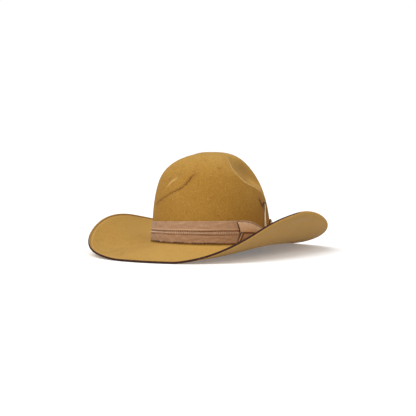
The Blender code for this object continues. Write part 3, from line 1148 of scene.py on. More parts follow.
@dataclass
class FeltBody:
    """Crown and brim: one shell of felt with two punched holes, open underneath."""

    columns: int = 360
    crown_rows: int = 66
    break_rows: int = 5
    brim_rows: int = 40
    edge_row: float = 0.0012
    fine_steps: int = 500
    hole_height: float = 0.0587
    # azimuth, half width, half height
    holes: tuple = ((117.0, 0.0040, 0.0026), (108.0, 0.0024, 0.0022))
    hole_block: int = 3
    # azimuth, half width in degrees, strength of the painted light on the brim
    lit_brim: tuple = ((30, 40, 0.30), (262, 32, 0.62))
    # painted light on the inner face
    lit_inside: float = 0.10
    # share of the crown's height where the felt starts to pale towards the top, and over how much
    pale_from: float = 0.72
    pale_over: float = 0.25

    def outer(self) -> tuple[Array, dict[str, Array]]:
        """Lay out the outer face.

        Returns:
            Its points in rows from just under the top to the edge, and each point's distance to the edge.
        """
        azimuths = around(self.columns)
        # fine heights, closer together towards the top
        lift = np.sin(np.linspace(0, math.pi / 2, self.fine_steps))
        crown = np.zeros((self.crown_rows, self.columns, 3))
        fullness = closed_spline(FORM.crown_sections, 1)(azimuths)
        for column, azimuth in enumerate(azimuths):
            heights = FORM.crown_height * lift ** (2 / fullness[column])
            section = FORM.crown(np.full(len(heights), azimuth), heights)
            run = travelled(section)
            wanted = run[-1] * np.arange(self.crown_rows) / self.crown_rows
            for axis in range(3):
                crown[:, column, axis] = np.interp(wanted, run, section[:, axis])
        crown = FORM.pressed(crown[::-1])
        first = FORM.break_radius / FORM.reach(azimuths)
        out, up = FORM.section(azimuths, first)
        rows = []
        for step in range(1, self.break_rows + 1):
            turn = math.pi / 2 * step / self.break_rows
            plan = FORM.oval(azimuths) + FORM.outward(azimuths) * out[:, None] * (1 - math.cos(turn))
            rise = FORM.foot(azimuths) + up + (FORM.break_radius - up) * (1 - math.sin(turn))
            rows.append(np.column_stack([plan, rise]))
        last = 1 - self.edge_row / FORM.brim_width
        shares = [first + (last - first) * step / self.brim_rows for step in range(1, self.brim_rows + 1)]
        shares.append(np.ones(self.columns))
        rows += [FORM.brim(azimuths, share) for share in shares]
        rim = np.full((self.crown_rows + self.break_rows, self.columns), FORM.brim_width)
        rim = np.concatenate([rim, [(1 - share) * FORM.reach(azimuths) for share in shares]])
        return np.concatenate([crown, np.array(rows)]), rim

    def cut_hole(
        self, azimuth: float, half: tuple[float, float], outer: Array, inner: Array, index: Array, faces: set
    ) -> list:
        """Open a round hole through both faces.

        Args:
            azimuth: where, in degrees.
            half: half its width and half its height.
            outer: grid of outer points, changed in place.
            inner: grid of inner points, changed in place.
            index: vertex numbers of the outer grid.
            faces: row and column of each grid cell to leave out, added to.

        Returns:
            The faces of the hole's wall.
        """
        centre, along, up, out = FORM.frame_at(math.radians(azimuth), self.hole_height)
        cell = outer[: self.crown_rows]
        middle = (cell[:-1] + np.roll(cell, -1, 1)[:-1] + cell[1:] + np.roll(cell, -1, 1)[1:]) / 4
        row, column = np.unravel_index(np.linalg.norm(middle - centre, axis=-1).argmin(), middle.shape[:2])
        size = self.hole_block
        top, left = row - size // 2, column - size // 2
        steps = range(size)
        ring = [(top, left + i) for i in steps] + [(top + i, left + size) for i in steps]
        ring += [(top + size, left + size - i) for i in steps] + [(top + size - i, left) for i in steps]
        faces.update((top + i, left + j) for i in steps for j in steps)
        for r, c in ring:
            away = outer[r, c] - centre
            turn = math.atan2(away @ up / half[1], away @ along / half[0])
            depth = away @ out
            shift = inner[r, c] - outer[r, c]
            outer[r, c] = centre + along * math.cos(turn) * half[0] + up * math.sin(turn) * half[1]
            outer[r, c] += out * depth
            inner[r, c] = outer[r, c] + shift
        near = [int(index[place]) for place in ring]
        return [(a, b, b + index.size, a + index.size) for a, b in zip(near, near[1:] + near[:1])]

    def brim_light(self, rows: int, columns: int, count: int) -> Array:
        """Find where painted light brightens the nap.

        Args:
            rows: rows of outer points.
            columns: outer points in a row.
            count: number of the felt's vertices, the outer points first.

        Returns:
            The painted light at each vertex, from 0 to 1.
        """
        degrees = np.arange(columns) * 360 / columns
        # strength of the painted light round the brim, by column
        worn = np.zeros(columns)
        for middle, half, strength in self.lit_brim:
            worn += strength * bell(short_way(degrees - middle, 360), half)
        lit = np.zeros((rows, columns))
        lit[self.crown_rows + self.break_rows :] = worn
        return np.concatenate([lit.ravel(), np.full(count - lit.size, self.lit_inside)])

    def build(self, finish: FeltFinish) -> bpy.types.Object:
        """Build and dress the felt.

        Args:
            finish: its look.

        Returns:
            The piece.
        """
        outer, rim = self.outer()
        rows, columns = outer.shape[:2]
        lift = np.zeros(rows * columns)
        for mark in FELT_MARKS:
            lift += mark.lift(outer.reshape(-1, 3))
        outer = outer + grid_normals(outer) * lift.reshape(rows, columns, 1)
        inner = outer - grid_normals(outer) * FORM.felt
        total = rows * columns
        index = np.arange(total).reshape(rows, columns)
        skipped: set = set()
        walls: list = []
        for azimuth, half_width, half_height in self.holes:
            walls += self.cut_hole(azimuth, (half_width, half_height), outer, inner, index, skipped)
        faces = []
        for number, quad in enumerate(quads(rows, columns, False, True)):
            if (number // columns, number % columns) not in skipped:
                faces += [tuple(quad), tuple(quad[::-1] + total)]
        last = index[-1]
        after = np.roll(last, -1)
        faces += np.stack([last, last + total, after + total, after], -1).tolist()
        faces += walls
        top = FORM.pressed(np.array([[0.0, 0.0, FORM.foot_middle() + FORM.break_radius + FORM.crown_height]]))
        poles = np.concatenate([top, top - np.array([[0, 0, FORM.felt]])])
        for a, b in zip(index[0], np.roll(index[0], -1)):
            faces += [(2 * total, a, b), (2 * total + 1, b + total, a + total)]
        points = np.concatenate([outer.reshape(-1, 3), inner.reshape(-1, 3), poles])
        outside = np.concatenate([np.ones(total), np.zeros(total), [1, 0]])
        edge = np.concatenate([rim.ravel(), rim.ravel(), [FORM.brim_width] * 2])
        share = (outer[:, :, 2] - FORM.foot_middle()) / FORM.crown_height
        pale = np.clip((share - self.pale_from) / self.pale_over, 0, 1)
        pale[self.crown_rows + self.break_rows :] = 1
        pale = np.concatenate([pale.ravel(), np.ones(total), [1, 1]])
        fields = {"lower": 1 - outside, "rim": edge, "pale": pale, "lit": self.brim_light(rows, columns, len(points))}
        for mark in FELT_MARKS:
            fields.update(mark.fields(outer.reshape(-1, 3), len(points)))
        body = add_mesh("felt_body", points, faces, fields)
        drop_loose(body.data)
        body.data.materials.append(finish.material())
        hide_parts("felt_body")
        return body


def drop_loose(mesh: bpy.types.Mesh) -> None:
    """Delete the vertices that no face uses.

    Args:
        mesh: the mesh, changed in place.
    """
    work = bmesh.new()
    work.from_mesh(mesh)
    loose = [vertex for vertex in work.verts if not vertex.link_faces]
    bmesh.ops.delete(work, geom=loose, context="VERTS")
    work.to_mesh(mesh)
    work.free()


@dataclass
class BrimBinding:
    """The thin strip folded over the felt's cut edge."""

    columns: int = 480
    gap: float = 0.0002
    wall: float = 0.0005
    leg: float = 0.0018
    corner_steps: int = 3
    # share of the strip's outer distance by which its corners are rounded in
    rounding: float = 0.2
    # how far in from the edge its direction is measured, and over how many degrees a bare stretch ends
    inset: float = 0.003
    bare_end: float = 8
    # azimuth, half width in degrees, share worn off
    bare: tuple = ((133.0, 34.0, 1.0), (262.0, 30.0, 0.92))

    def profile(self) -> list[tuple[float, float, float]]:
        """Lay out the strip's section, from the upper leg round the edge.

        Returns:
            For each corner its distance past the edge, height over the upper face, and share of leg.
        """
        outer = self.gap + self.wall
        felt = FORM.felt
        inset = self.rounding * outer
        points = [(-self.leg, outer - inset, 1.0), (-self.leg / 2, outer, 1.0)]
        count = self.corner_steps
        steps = [(math.pi / 2 * step / count, step / count) for step in range(count + 1)]
        for turn, share in steps:
            points.append((outer * math.sin(turn) - inset, outer * math.cos(turn) - inset, 1 - share))
        for turn, share in steps:
            points.append((outer * math.cos(turn) - inset, -felt - outer * math.sin(turn) + inset, share))
        points += [(-self.leg / 2, -felt - outer, 1.0), (-self.leg, -felt - outer + inset, 1.0)]
        points += [(-self.leg, -felt - self.gap, 1.0), (self.gap, -felt - self.gap, 0.0)]
        points += [(self.gap, self.gap, 0.0), (-self.leg, self.gap, 1.0)]
        return points

    def build(self, finish: BindingFinish) -> bpy.types.Object:
        """Build and dress the strip.

        Args:
            finish: its look.

        Returns:
            The piece.
        """
        azimuths = around(self.columns)
        edge = FORM.brim(azimuths, np.ones(self.columns))
        before = FORM.brim(azimuths, np.full(self.columns, 1 - self.inset / FORM.brim_width))
        run = unit(np.roll(edge, -1, 0) - np.roll(edge, 1, 0))
        over = unit(np.cross(edge - before, run))
        past = np.cross(run, over)
        profile = self.profile()
        rings = [edge + past * far + over * high for far, high, _ in profile]
        points = np.stack(rings, 1).reshape(-1, 3)
        faces = quads(self.columns, len(profile), True, True)[:, ::-1].tolist()
        legs = np.tile([share for _, _, share in profile], self.columns)
        bare = np.zeros(self.columns)
        for middle, half, worn in self.bare:
            away = np.abs(short_way(np.degrees(azimuths) - middle, 360))
            bare = np.maximum(bare, worn * np.clip((half - away) / self.bare_end + 0.5, 0, 1))
        fields = {"leg": legs, "bare": np.repeat(bare, len(profile))}
        piece = add_mesh("brim_binding", points, faces, fields)
        piece.data.materials.append(finish.material())
        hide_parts("brim_binding")
        return piece


@dataclass
class HatBand:
    """Folded ribbon round the foot of the crown, drawn together where the bow's knot holds it."""

    height: float = 0.0352
    wall: float = 0.0011
    lift: float = 0.0003
    gap: float = 0.0003
    ridge: float = 0.0009
    pinch: float = 0.40
    pinch_spread: float = 20.0
    knot_azimuth: float = 110.0
    columns: int = 520
    rows: int = 44
    back_rows: int = 6
    # azimuth, height share
    sections: tuple = ((0, 0.94), (60, 1.00), (120, 1.00), (180, 0.95), (240, 0.88), (300, 0.82))
    # height share, rise as a share of a full ridge, half width as a height share
    folds: tuple = (
        (0.610, 1.00, 0.022),
        (0.545, -0.80, 0.018),
        (0.460, -0.30, 0.026),
        (0.378, -0.80, 0.018),
        (0.965, 0.25, 0.020),
        (0.040, 0.35, 0.030),
    )
    # azimuth, its half width in radians, height share, its half width, rise of the folds that catch the light there
    lit_folds: tuple = ((-24, 0.24, 0.60, 0.03, 1.1), (-24, 0.24, 0.47, 0.03, 1.1), (9, 0.22, 0.545, 0.022, 0.60))
    bow_shade: float = 1.6
    # height share, azimuth of the front wing's free end
    bow_end: tuple = ((0.0, 63.4), (0.10, 63.4), (0.48, 66.2), (0.60, 65.8), (0.97, 63.2), (1.0, 63.2))
    # azimuth, height share, half length, degrees of slope, half width, rise
    wrinkles: tuple = (
        (322, 0.22, 0.012, -14, 0.0015, 0.0009),
        (331, 0.14, 0.010, 10, 0.0012, 0.0005),
        (346, 0.80, 0.016, -20, 0.0022, 0.0004),
        (10, 0.84, 0.018, 14, 0.0020, 0.0005),
        (26, 0.76, 0.016, -8, 0.0016, 0.0004),
        (44, 0.86, 0.014, 9, 0.0016, 0.0004),
        (20, 0.20, 0.018, 7, 0.0018, 0.0004),
        (50, 0.26, 0.014, -9, 0.0016, 0.0004),
        (150, 0.70, 0.018, 12, 0.0022, 0.0005),
        (190, 0.25, 0.020, -8, 0.0020, 0.0005),
        (235, 0.78, 0.020, 10, 0.0022, 0.0005),
        (275, 0.24, 0.018, -12, 0.0020, 0.0005),
    )
    # waves per metre, seed, height: the lower hem's ragged edge, and the face's unevenness
    ragged: tuple = ((260, 3.1, 0.0006), (900, 8.2, 0.0003))
    uneven: tuple = ((60, 5.5, 0.00035), (200, 1.5, 0.00014))
    # fraying along the lower hem: height share over which it fades, and where it is worst, in radians
    hem_height: float = 0.046
    hem_middle: float = 0.14
    hem_spread: float = 0.50
    # how much the cloth pales above the seam and towards the wearer's left
    pale_above: float = 0.24
    pale_left: float = 0.14
    # where the seams run, in degrees
    seam_start: float = 124.0
    seam_end: float = 456.0
    seam_step: float = 0.5

    def top(self, azimuth: Array) -> Array:
        """Follow the upper edge.

        Args:
            azimuth: azimuths in radians.

        Returns:
            Its heights over the break.
        """
        away = short_way(np.degrees(azimuth) - self.knot_azimuth, 360)
        drawn = self.pinch * bell(away, self.pinch_spread)
        return self.lift + self.height * closed_spline(self.sections, 1)(azimuth) * (1 - drawn)

    def relief(self, azimuth: Array, share: Array) -> Array:
        """Return the folds of the ribbon as shares of a full ridge.

        Args:
            azimuth: azimuths in radians.
            share: height shares of the band.

        Returns:
            The rise at each place.
        """
        rise = np.zeros(np.broadcast(azimuth, share).shape)
        for place, height, half in self.folds:
            sway = 0.006 * np.sin(3 * azimuth + 20 * place) + 0.004 * np.sin(11 * azimuth + 9 * place)
            swell = 1 + 0.18 * np.sin(5 * azimuth + 31 * place) + 0.10 * np.sin(17 * azimuth + 7 * place)
            rise = rise + height * swell * bell(share - place - sway, half)
        return rise

    def beside_bow(self, azimuth: Array, share: Array) -> Array:
        """Find where the ribbon lies in the shade right beside the front wing's free end.

        Args:
            azimuth: azimuths in radians.
            share: height shares of the band.

        Returns:
            The shade at each place, from 0 to 1.
        """
        away = (np.radians(eased(share, self.bow_end)) - azimuth) * FORM.radius()
        return np.where(away > -0.004, bell(np.maximum(away, 0), 0.0012), 0.0) * ((share > 0.06) & (share < 0.99))

    def creases(self, azimuth: Array, height: Array) -> Array:
        """Add up the loose wrinkles.

        Args:
            azimuth: azimuths in radians.
            height: heights over the break.

        Returns:
            Their rise at each place, in metres.
        """
        rise = np.zeros(np.broadcast(azimuth, height).shape)
        for place, share, half_length, slope, half_width, lift in self.wrinkles:
            x = short_way(azimuth - math.radians(place)) * FORM.radius()
            y = height - share * self.height
            turn = math.radians(slope)
            along = x * math.cos(turn) + y * math.sin(turn)
            across = y * math.cos(turn) - x * math.sin(turn)
            rise = rise + lift * bell(along, half_length) * bell(across, half_width)
        return rise

    def surface(self, azimuth: Array, share: Array, offset: float) -> tuple[Array, Array]:
        """Follow the ribbon's face.

        Args:
            azimuth: azimuths in radians.
            share: height shares of the band.
            offset: distance of the unfolded face over the felt.

        Returns:
            Points on it, and the folds there as shares of a full ridge.
        """
        height = self.lift + (self.top(azimuth) - self.lift) * share
        point, _, _, out = FORM.frame_at(azimuth, height)
        rise = self.relief(azimuth, share)
        lift = offset + self.ridge * rise + self.creases(azimuth, height)
        return point + out * lift[..., None], rise

    def build(self, finish: RibbonFinish) -> bpy.types.Object:
        """Build and dress the band.

        Args:
            finish: its look.

        Returns:
            The piece.
        """
        azimuth = around(self.columns)[:, None]
        share = np.linspace(0, 1, self.rows)[None, :]
        outer, rise = self.surface(azimuth, share, self.gap + self.wall)
        outer[:, 0, 2] += sum(rippled(outer[:, 0], scale, seed) * high for scale, seed, high in self.ragged)
        wave = sum(rippled(outer, scale, seed) * high for scale, seed, high in self.uneven)
        _, _, _, out = FORM.frame_at(azimuth, self.lift + self.height * share)
        outer = outer + out * wave[..., None]
        back_share = np.linspace(1, 0, self.back_rows)[None, :]
        inner, _, _, inner_out = FORM.frame_at(azimuth, self.lift + (self.top(azimuth) - self.lift) * back_share)
        ring = np.concatenate([outer, inner + inner_out * self.gap], 1)
        count = ring.shape[1]
        points = ring.reshape(-1, 3)
        faces = quads(self.columns, count, True, True).tolist()
        # painted highlight on the folds that catch the light, and painted shade beside the bow's free end
        for place, spread, middle, half, lit in self.lit_folds:
            rise = rise + lit * bell(short_way(azimuth - math.radians(place)), spread) * bell(share - middle, half)
        rise = rise - self.bow_shade * self.beside_bow(azimuth, share)
        # the hidden back face gets full painted shade
        raised = np.concatenate([rise, np.full((self.columns, self.back_rows), -1.0)], 1).ravel()
        sideways = short_way(azimuth)
        worst = np.clip(0.35 + 1.4 * bell(sideways - self.hem_middle, self.hem_spread), 0, 1)
        low = np.clip(1.70 - share / self.hem_height, 0, 1) * worst
        tone = self.pale_above * np.clip((share - 0.50) / 0.10, 0, 1)
        tone = tone + self.pale_left * np.clip((sideways - 0.5) / 0.5, 0, 1)
        back = np.zeros((self.columns, self.back_rows))
        tone = np.concatenate([tone, back], 1).ravel()
        hem = np.concatenate([low, back], 1).ravel()
        piece = add_mesh("hat_band", points, faces, {"raised": raised, "hem": hem, "tone": tone})
        u = np.repeat(azimuth, count, 1).ravel() * FORM.radius()
        v = np.tile(np.concatenate([share[0], back_share[0]]) * self.height, self.columns)
        add_cloth_map(piece.data, u, v, TURN * FORM.radius())
        piece.data.materials.append(finish.material())
        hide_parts("hat_band")
        return piece

    def seam(self, share: float, offset: float) -> Array:
        """Follow a seam along the ribbon's face.

        Args:
            share: height share.
            offset: distance over the ribbon's face.

        Returns:
            The seam's points.
        """
        azimuth = np.radians(np.arange(self.seam_start, self.seam_end, self.seam_step))
        points, _ = self.surface(azimuth, np.full(len(azimuth), share), self.gap + self.wall + offset)
        return points


def add_cloth_map(mesh: bpy.types.Mesh, u: Array, v: Array, turn: float = 0.0) -> None:
    """Add the UV map "cloth", in metres along and across the ribbon.

    Args:
        mesh: the ribbon's mesh.
        u: place along the ribbon, for each vertex.
        v: place across the ribbon, for each vertex.
        turn: length of a ribbon that closes into a ring, or 0.
    """
    layer = mesh.uv_layers.new(name="cloth")
    corners = np.zeros(len(mesh.loops), dtype=np.int32)
    mesh.loops.foreach_get("vertex_index", corners)
    along = u[corners]
    if turn:
        for polygon in mesh.polygons:
            near = along[polygon.loop_start : polygon.loop_start + polygon.loop_total]
            if near.max() - near.min() > turn / 2:
                near[near < turn / 2] += turn
    layer.data.foreach_set("uv", np.stack([along, v[corners]], -1).astype(np.float32).ravel())


@dataclass
class StitchRow:
    """A row of equal stitches along a path, made by Geometry Nodes."""

    name: str
    spacing: float
    length: float
    thickness: float
    seed: int = 7
    # the shortest and the longest stitch, as shares of the length
    shortest: float = 0.75
    longest: float = 1.15

    def tree(self, material: bpy.types.Material) -> bpy.types.NodeTree:
        """Build the node tree: even points on the path, a stitch on each, realized and given its material.

        Args:
            material: the thread's material.

        Returns:
            The tree, with the row's sizes as its inputs.
        """
        group = bpy.data.node_groups.new(self.name, "GeometryNodeTree")
        sockets = group.interface
        sockets.new_socket("Geometry", in_out="INPUT", socket_type="NodeSocketGeometry")
        for label in ("Spacing", "Length", "Thickness"):
            sockets.new_socket(label, in_out="INPUT", socket_type="NodeSocketFloat")
        sockets.new_socket("Seed", in_out="INPUT", socket_type="NodeSocketInt")
        sockets.new_socket("Geometry", in_out="OUTPUT", socket_type="NodeSocketGeometry")
        given, result, curve, spread, ball, scale, jitter, stretch, place, realize, smooth, dress = (
            group.nodes.new(kind)
            for kind in (
                "NodeGroupInput", "NodeGroupOutput", "GeometryNodeMeshToCurve", "GeometryNodeCurveToPoints",
                "GeometryNodeMeshUVSphere", "ShaderNodeCombineXYZ", "FunctionNodeRandomValue", "ShaderNodeMath",
                "GeometryNodeInstanceOnPoints", "GeometryNodeRealizeInstances", "GeometryNodeSetShadeSmooth",
                "GeometryNodeSetMaterial",
            )
        )
        spread.mode = "LENGTH"
        jitter.data_type = "FLOAT"
        stretch.operation = "MULTIPLY"
        values = (
            (ball, "Segments", 8),
            (ball, "Rings", 6),
            (ball, "Radius", 0.5),
            (jitter, 2, self.shortest),
            (jitter, 3, self.longest),
            (dress, "Material", material),
        )
        for node, key, value in values:
            node.inputs[key].default_value = value
        wires = (
            (given, "Geometry", curve, "Mesh"),
            (curve, "Curve", spread, "Curve"),
            (given, "Spacing", spread, "Length"),
            (given, "Seed", jitter, "Seed"),
            (given, "Length", stretch, 0),
            (jitter, 1, stretch, 1),
            (given, "Thickness", scale, "X"),
            (given, "Thickness", scale, "Y"),
            (stretch, "Value", scale, "Z"),
            (spread, "Points", place, "Points"),
            (spread, "Rotation", place, "Rotation"),
            (ball, "Mesh", place, "Instance"),
            (scale, "Vector", place, "Scale"),
            (place, "Instances", realize, "Geometry"),
            (realize, "Geometry", smooth, "Geometry"),
            (smooth, "Geometry", dress, "Geometry"),
            (dress, "Geometry", result, "Geometry"),
        )
        for source, output, target, entry in wires:
            group.links.new(source.outputs[output], target.inputs[entry])
        return group

    def build(self, path: Array, finish: ThreadFinish, slot: str) -> bpy.types.Object:
        """Build the stitches along a path.

        Args:
            path: its points.
            finish: the thread's look.
            slot: the record's slot that the thread belongs to; not used.

        Returns:
            The piece, as plain mesh.
        """
        mesh = bpy.data.meshes.new(self.name)
        mesh.from_pydata((path - CENTRE).tolist(), [(i, i + 1) for i in range(len(path) - 1)], [])
        guide = add_object(self.name + "_guide", mesh)
        modifier = guide.modifiers.new("stitches", "NODES")
        modifier.node_group = self.tree(finish.material())
        values = {"Spacing": self.spacing, "Length": self.length, "Thickness": self.thickness, "Seed": self.seed}
        for item in modifier.node_group.interface.items_tree:
            if item.in_out == "INPUT" and item.name in values:
                modifier[item.identifier] = values[item.name]
        seen = guide.evaluated_get(bpy.context.evaluated_depsgraph_get())
        plain = bpy.data.meshes.new_from_object(seen)
        plain.name = self.name
        guide.modifiers.remove(modifier)
        bpy.data.objects.remove(guide, do_unlink=True)
        piece = add_object(self.name, plain)
        return piece


@dataclass
class Bow:
    """A flat bow: two notched wings of folded ribbon, each an upper flap over a lower one, and their knot."""

    band: HatBand
    flap_grid: tuple = (20, 40)
    knot_grid: tuple = (30, 24)
    knot_width: float = 0.012
    knot_height: float = 0.021
    knot_rise: float = 0.0036
    wall: float = 0.0009
    snug: float = 0.0018
    notch: float = 0.0045
    lower_notch: float = 0.0080
    front_length: float = 0.0689
    rear_length: float = 0.0427
    near: float = 0.0026
    belly: float = 0.0006
    rolled_edge: float = 0.0005
    gather: float = 0.00030
    knot_base: float = 0.0037
    knot_fold: float = 0.0004
    # painted light that makes the upper flaps a lit copy of the ribbon, the lower flaps staying darker
    upper_flap_light: float = 0.62
    # distance over the felt at the free end, and how far the free end's rim curls out
    lower_rise: tuple = (0.0025, 0.0014)
    upper_rise: tuple = (0.0038, 0.0004)
    # distance share from the knot, its half width, strength: dips where the upper flap is gathered
    gathers: tuple = ((0.88, 0.018, 1.0), (0.70, 0.022, 0.8), (0.42, 0.03, 1.0))
    # distance share from the knot, height share of the band
    upper_top: tuple = ((0.0, 0.56), (0.15, 0.61), (0.29, 0.69), (0.49, 0.83), (0.70, 0.93), (1.0, 0.968))
    upper_low: tuple = ((0.0, 0.33), (0.5, 0.46), (1.0, 0.50))
    lower_top: tuple = ((0.0, 0.36), (0.5, 0.49), (1.0, 0.53))
    lower_low: tuple = ((0.0, 0.16), (0.4, 0.08), (1.0, 0.10))

    def flap(self, side: Side, length: float, edges: tuple, rise: tuple, upper: bool) -> tuple:
        """Make one flap of a wing.

        Args:
            side: the wing's side.
            length: the wing's length from the knot.
            edges: tables of the upper and the lower edge.
            rise: distance of the inner face over the felt at the free end, and how far its rim curls out.
            upper: whether this is the upper flap, whose free end reaches furthest at its upper edge.

        Returns:
            Points, faces, the field raised, and places along and across the ribbon.
        """
        rows, columns = self.flap_grid
        u = np.linspace(0, 1, columns)[None, :]
        v = np.linspace(0, 1, rows)[:, None]
        high, foot = (eased(u, table) * self.band.height for table in edges)
        height = foot + (high - foot) * v + self.band.lift
        reach = v if upper else 1 - v
        notch = self.notch if upper else self.lower_notch
        distance = self.knot_width / 2 * 0.6 + (length - notch * (1 - reach)) * u
        azimuth = FORM.azimuth_at(math.radians(self.band.knot_azimuth), side.value * distance)
        point, _, _, out = FORM.frame_at(azimuth, height)
        end, lip = rise
        over = self.near + (end - self.near) * np.minimum(u * 1.4, 1.0)
        if upper:
            over = over - (over - self.snug) * v**2 * np.minimum(u * 3, 1.0)
        belly = np.sin(np.pi * v) * self.belly * (1 - u * 0.5)
        curl = lip * np.clip((u - 0.93) / 0.07, 0, 1) ** 2
        rolled = self.rolled_edge * (bell(v, 0.06) + bell(1 - v, 0.06))
        gathers = sum(strength * bell(u - place, half) for place, half, strength in self.gathers) * v**2
        crease_line = v - 0.30 - 0.2 * u
        crease = 0.0006 * bell(crease_line, 0.05) * (1 - u)
        lift = over + belly + curl - rolled + crease - self.gather * gathers + self.wall
        points, faces = shell(point + out * lift[..., None], -out * self.wall)
        if side is Side.FRONT:
            faces = [tuple(reversed(face)) for face in faces]
        # painted highlight along the crease, the folded edges and the lower flap's lip; painted shade in the gathers,
        # along the upper flap's top, inside the lip and under the upper flap; the inner faces get painted shade
        raised = 0.8 * bell(crease_line, 0.04) * (1 - u) - 0.45 * gathers
        if upper:
            raised = raised + 0.5 * bell(1 - u, 0.012) + 0.8 * bell(v - 0.05, 0.06) - 1.3 * bell(1 - v, 0.05)
        else:
            raised = raised + 1.3 * bell(1 - u, 0.018) - 1.3 * bell(0.945 - u, 0.026)
            raised = raised - 1.6 * np.clip((v - 0.76) / 0.06, 0, 1)
        values = np.concatenate([raised.ravel(), np.full(raised.size, -0.4)])
        cloth = (np.tile(distance.ravel(), 2), np.tile(height.ravel(), 2))
        return points, faces, values, cloth

    def wing(self, name: str, side: Side, length: float, finish: RibbonFinish) -> bpy.types.Object:
        """Build and dress one wing.

        Args:
            name: the piece's and the node's name.
            side: which way it runs.
            length: its length from the knot.
            finish: its look.

        Returns:
            The piece.
        """
        flaps = (
            (self.flap(side, length, (self.lower_top, self.lower_low), self.lower_rise, False), 0.0),
            (self.flap(side, length, (self.upper_top, self.upper_low), self.upper_rise, True), self.upper_flap_light),
        )
        points, faces, raised, tones, u, v = [], [], [], [], [], []
        count = 0
        for (made, made_faces, values, (along, across)), tone in flaps:
            faces += [tuple(corner + count for corner in face) for face in made_faces]
            count += len(made)
            points.append(made)
            raised.append(values)
            tones.append(np.full(len(made), tone))
            u.append(along)
            v.append(across)
        fields = {"raised": np.concatenate(raised), "hem": np.zeros(count), "tone": np.concatenate(tones)}
        piece = add_mesh(name, np.concatenate(points), faces, fields)
        add_cloth_map(piece.data, np.concatenate(u), np.concatenate(v))
        piece.data.materials.append(finish.material())
        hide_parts(name)
        return piece

    def knot(self, finish: RibbonFinish) -> bpy.types.Object:
        """Build and dress the ribbon wrapped round the bow's middle.

        Args:
            finish: its look.

        Returns:
            The piece.
        """
        rows, columns = self.knot_grid
        across = np.linspace(-1, 1, columns)[None, :]
        v = np.linspace(-1, 1, rows)[:, None]
        middle = self.band.lift + self.band.height * (1 - self.band.pinch) / 2
        height = middle + v * self.knot_height / 2 * (1 + 0.06 * np.abs(across))
        azimuth = FORM.azimuth_at(math.radians(self.band.knot_azimuth), across * self.knot_width / 2)
        point, _, _, out = FORM.frame_at(np.broadcast_to(azimuth, height.shape), height)
        full = (1 - np.abs(across) ** 4) ** 0.5
        folds = np.cos(across * 9 + 0.8 * np.sin(2 * v))
        crest = (1 - 0.75 * np.abs(v) ** 3) * (0.35 + 0.65 * full)
        lift = self.knot_base + self.knot_rise * crest + self.knot_fold * folds
        grid = point + out * lift[..., None]
        points, faces = shell(grid, point + out * self.knot_base - grid)
        none = np.zeros(len(points))
        # painted highlight on the crests of the knot's folds and painted shade between them
        fields = {"raised": np.tile(folds.ravel() / 1.5, 2), "hem": none, "tone": none}
        piece = add_mesh("bow_knot", points, faces, fields)
        along = np.broadcast_to(across * self.knot_width / 2, height.shape)
        add_cloth_map(piece.data, np.tile(along.ravel(), 2), np.tile(height.ravel(), 2))
        piece.data.materials.append(finish.material())
        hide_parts("bow_knot")
        return piece


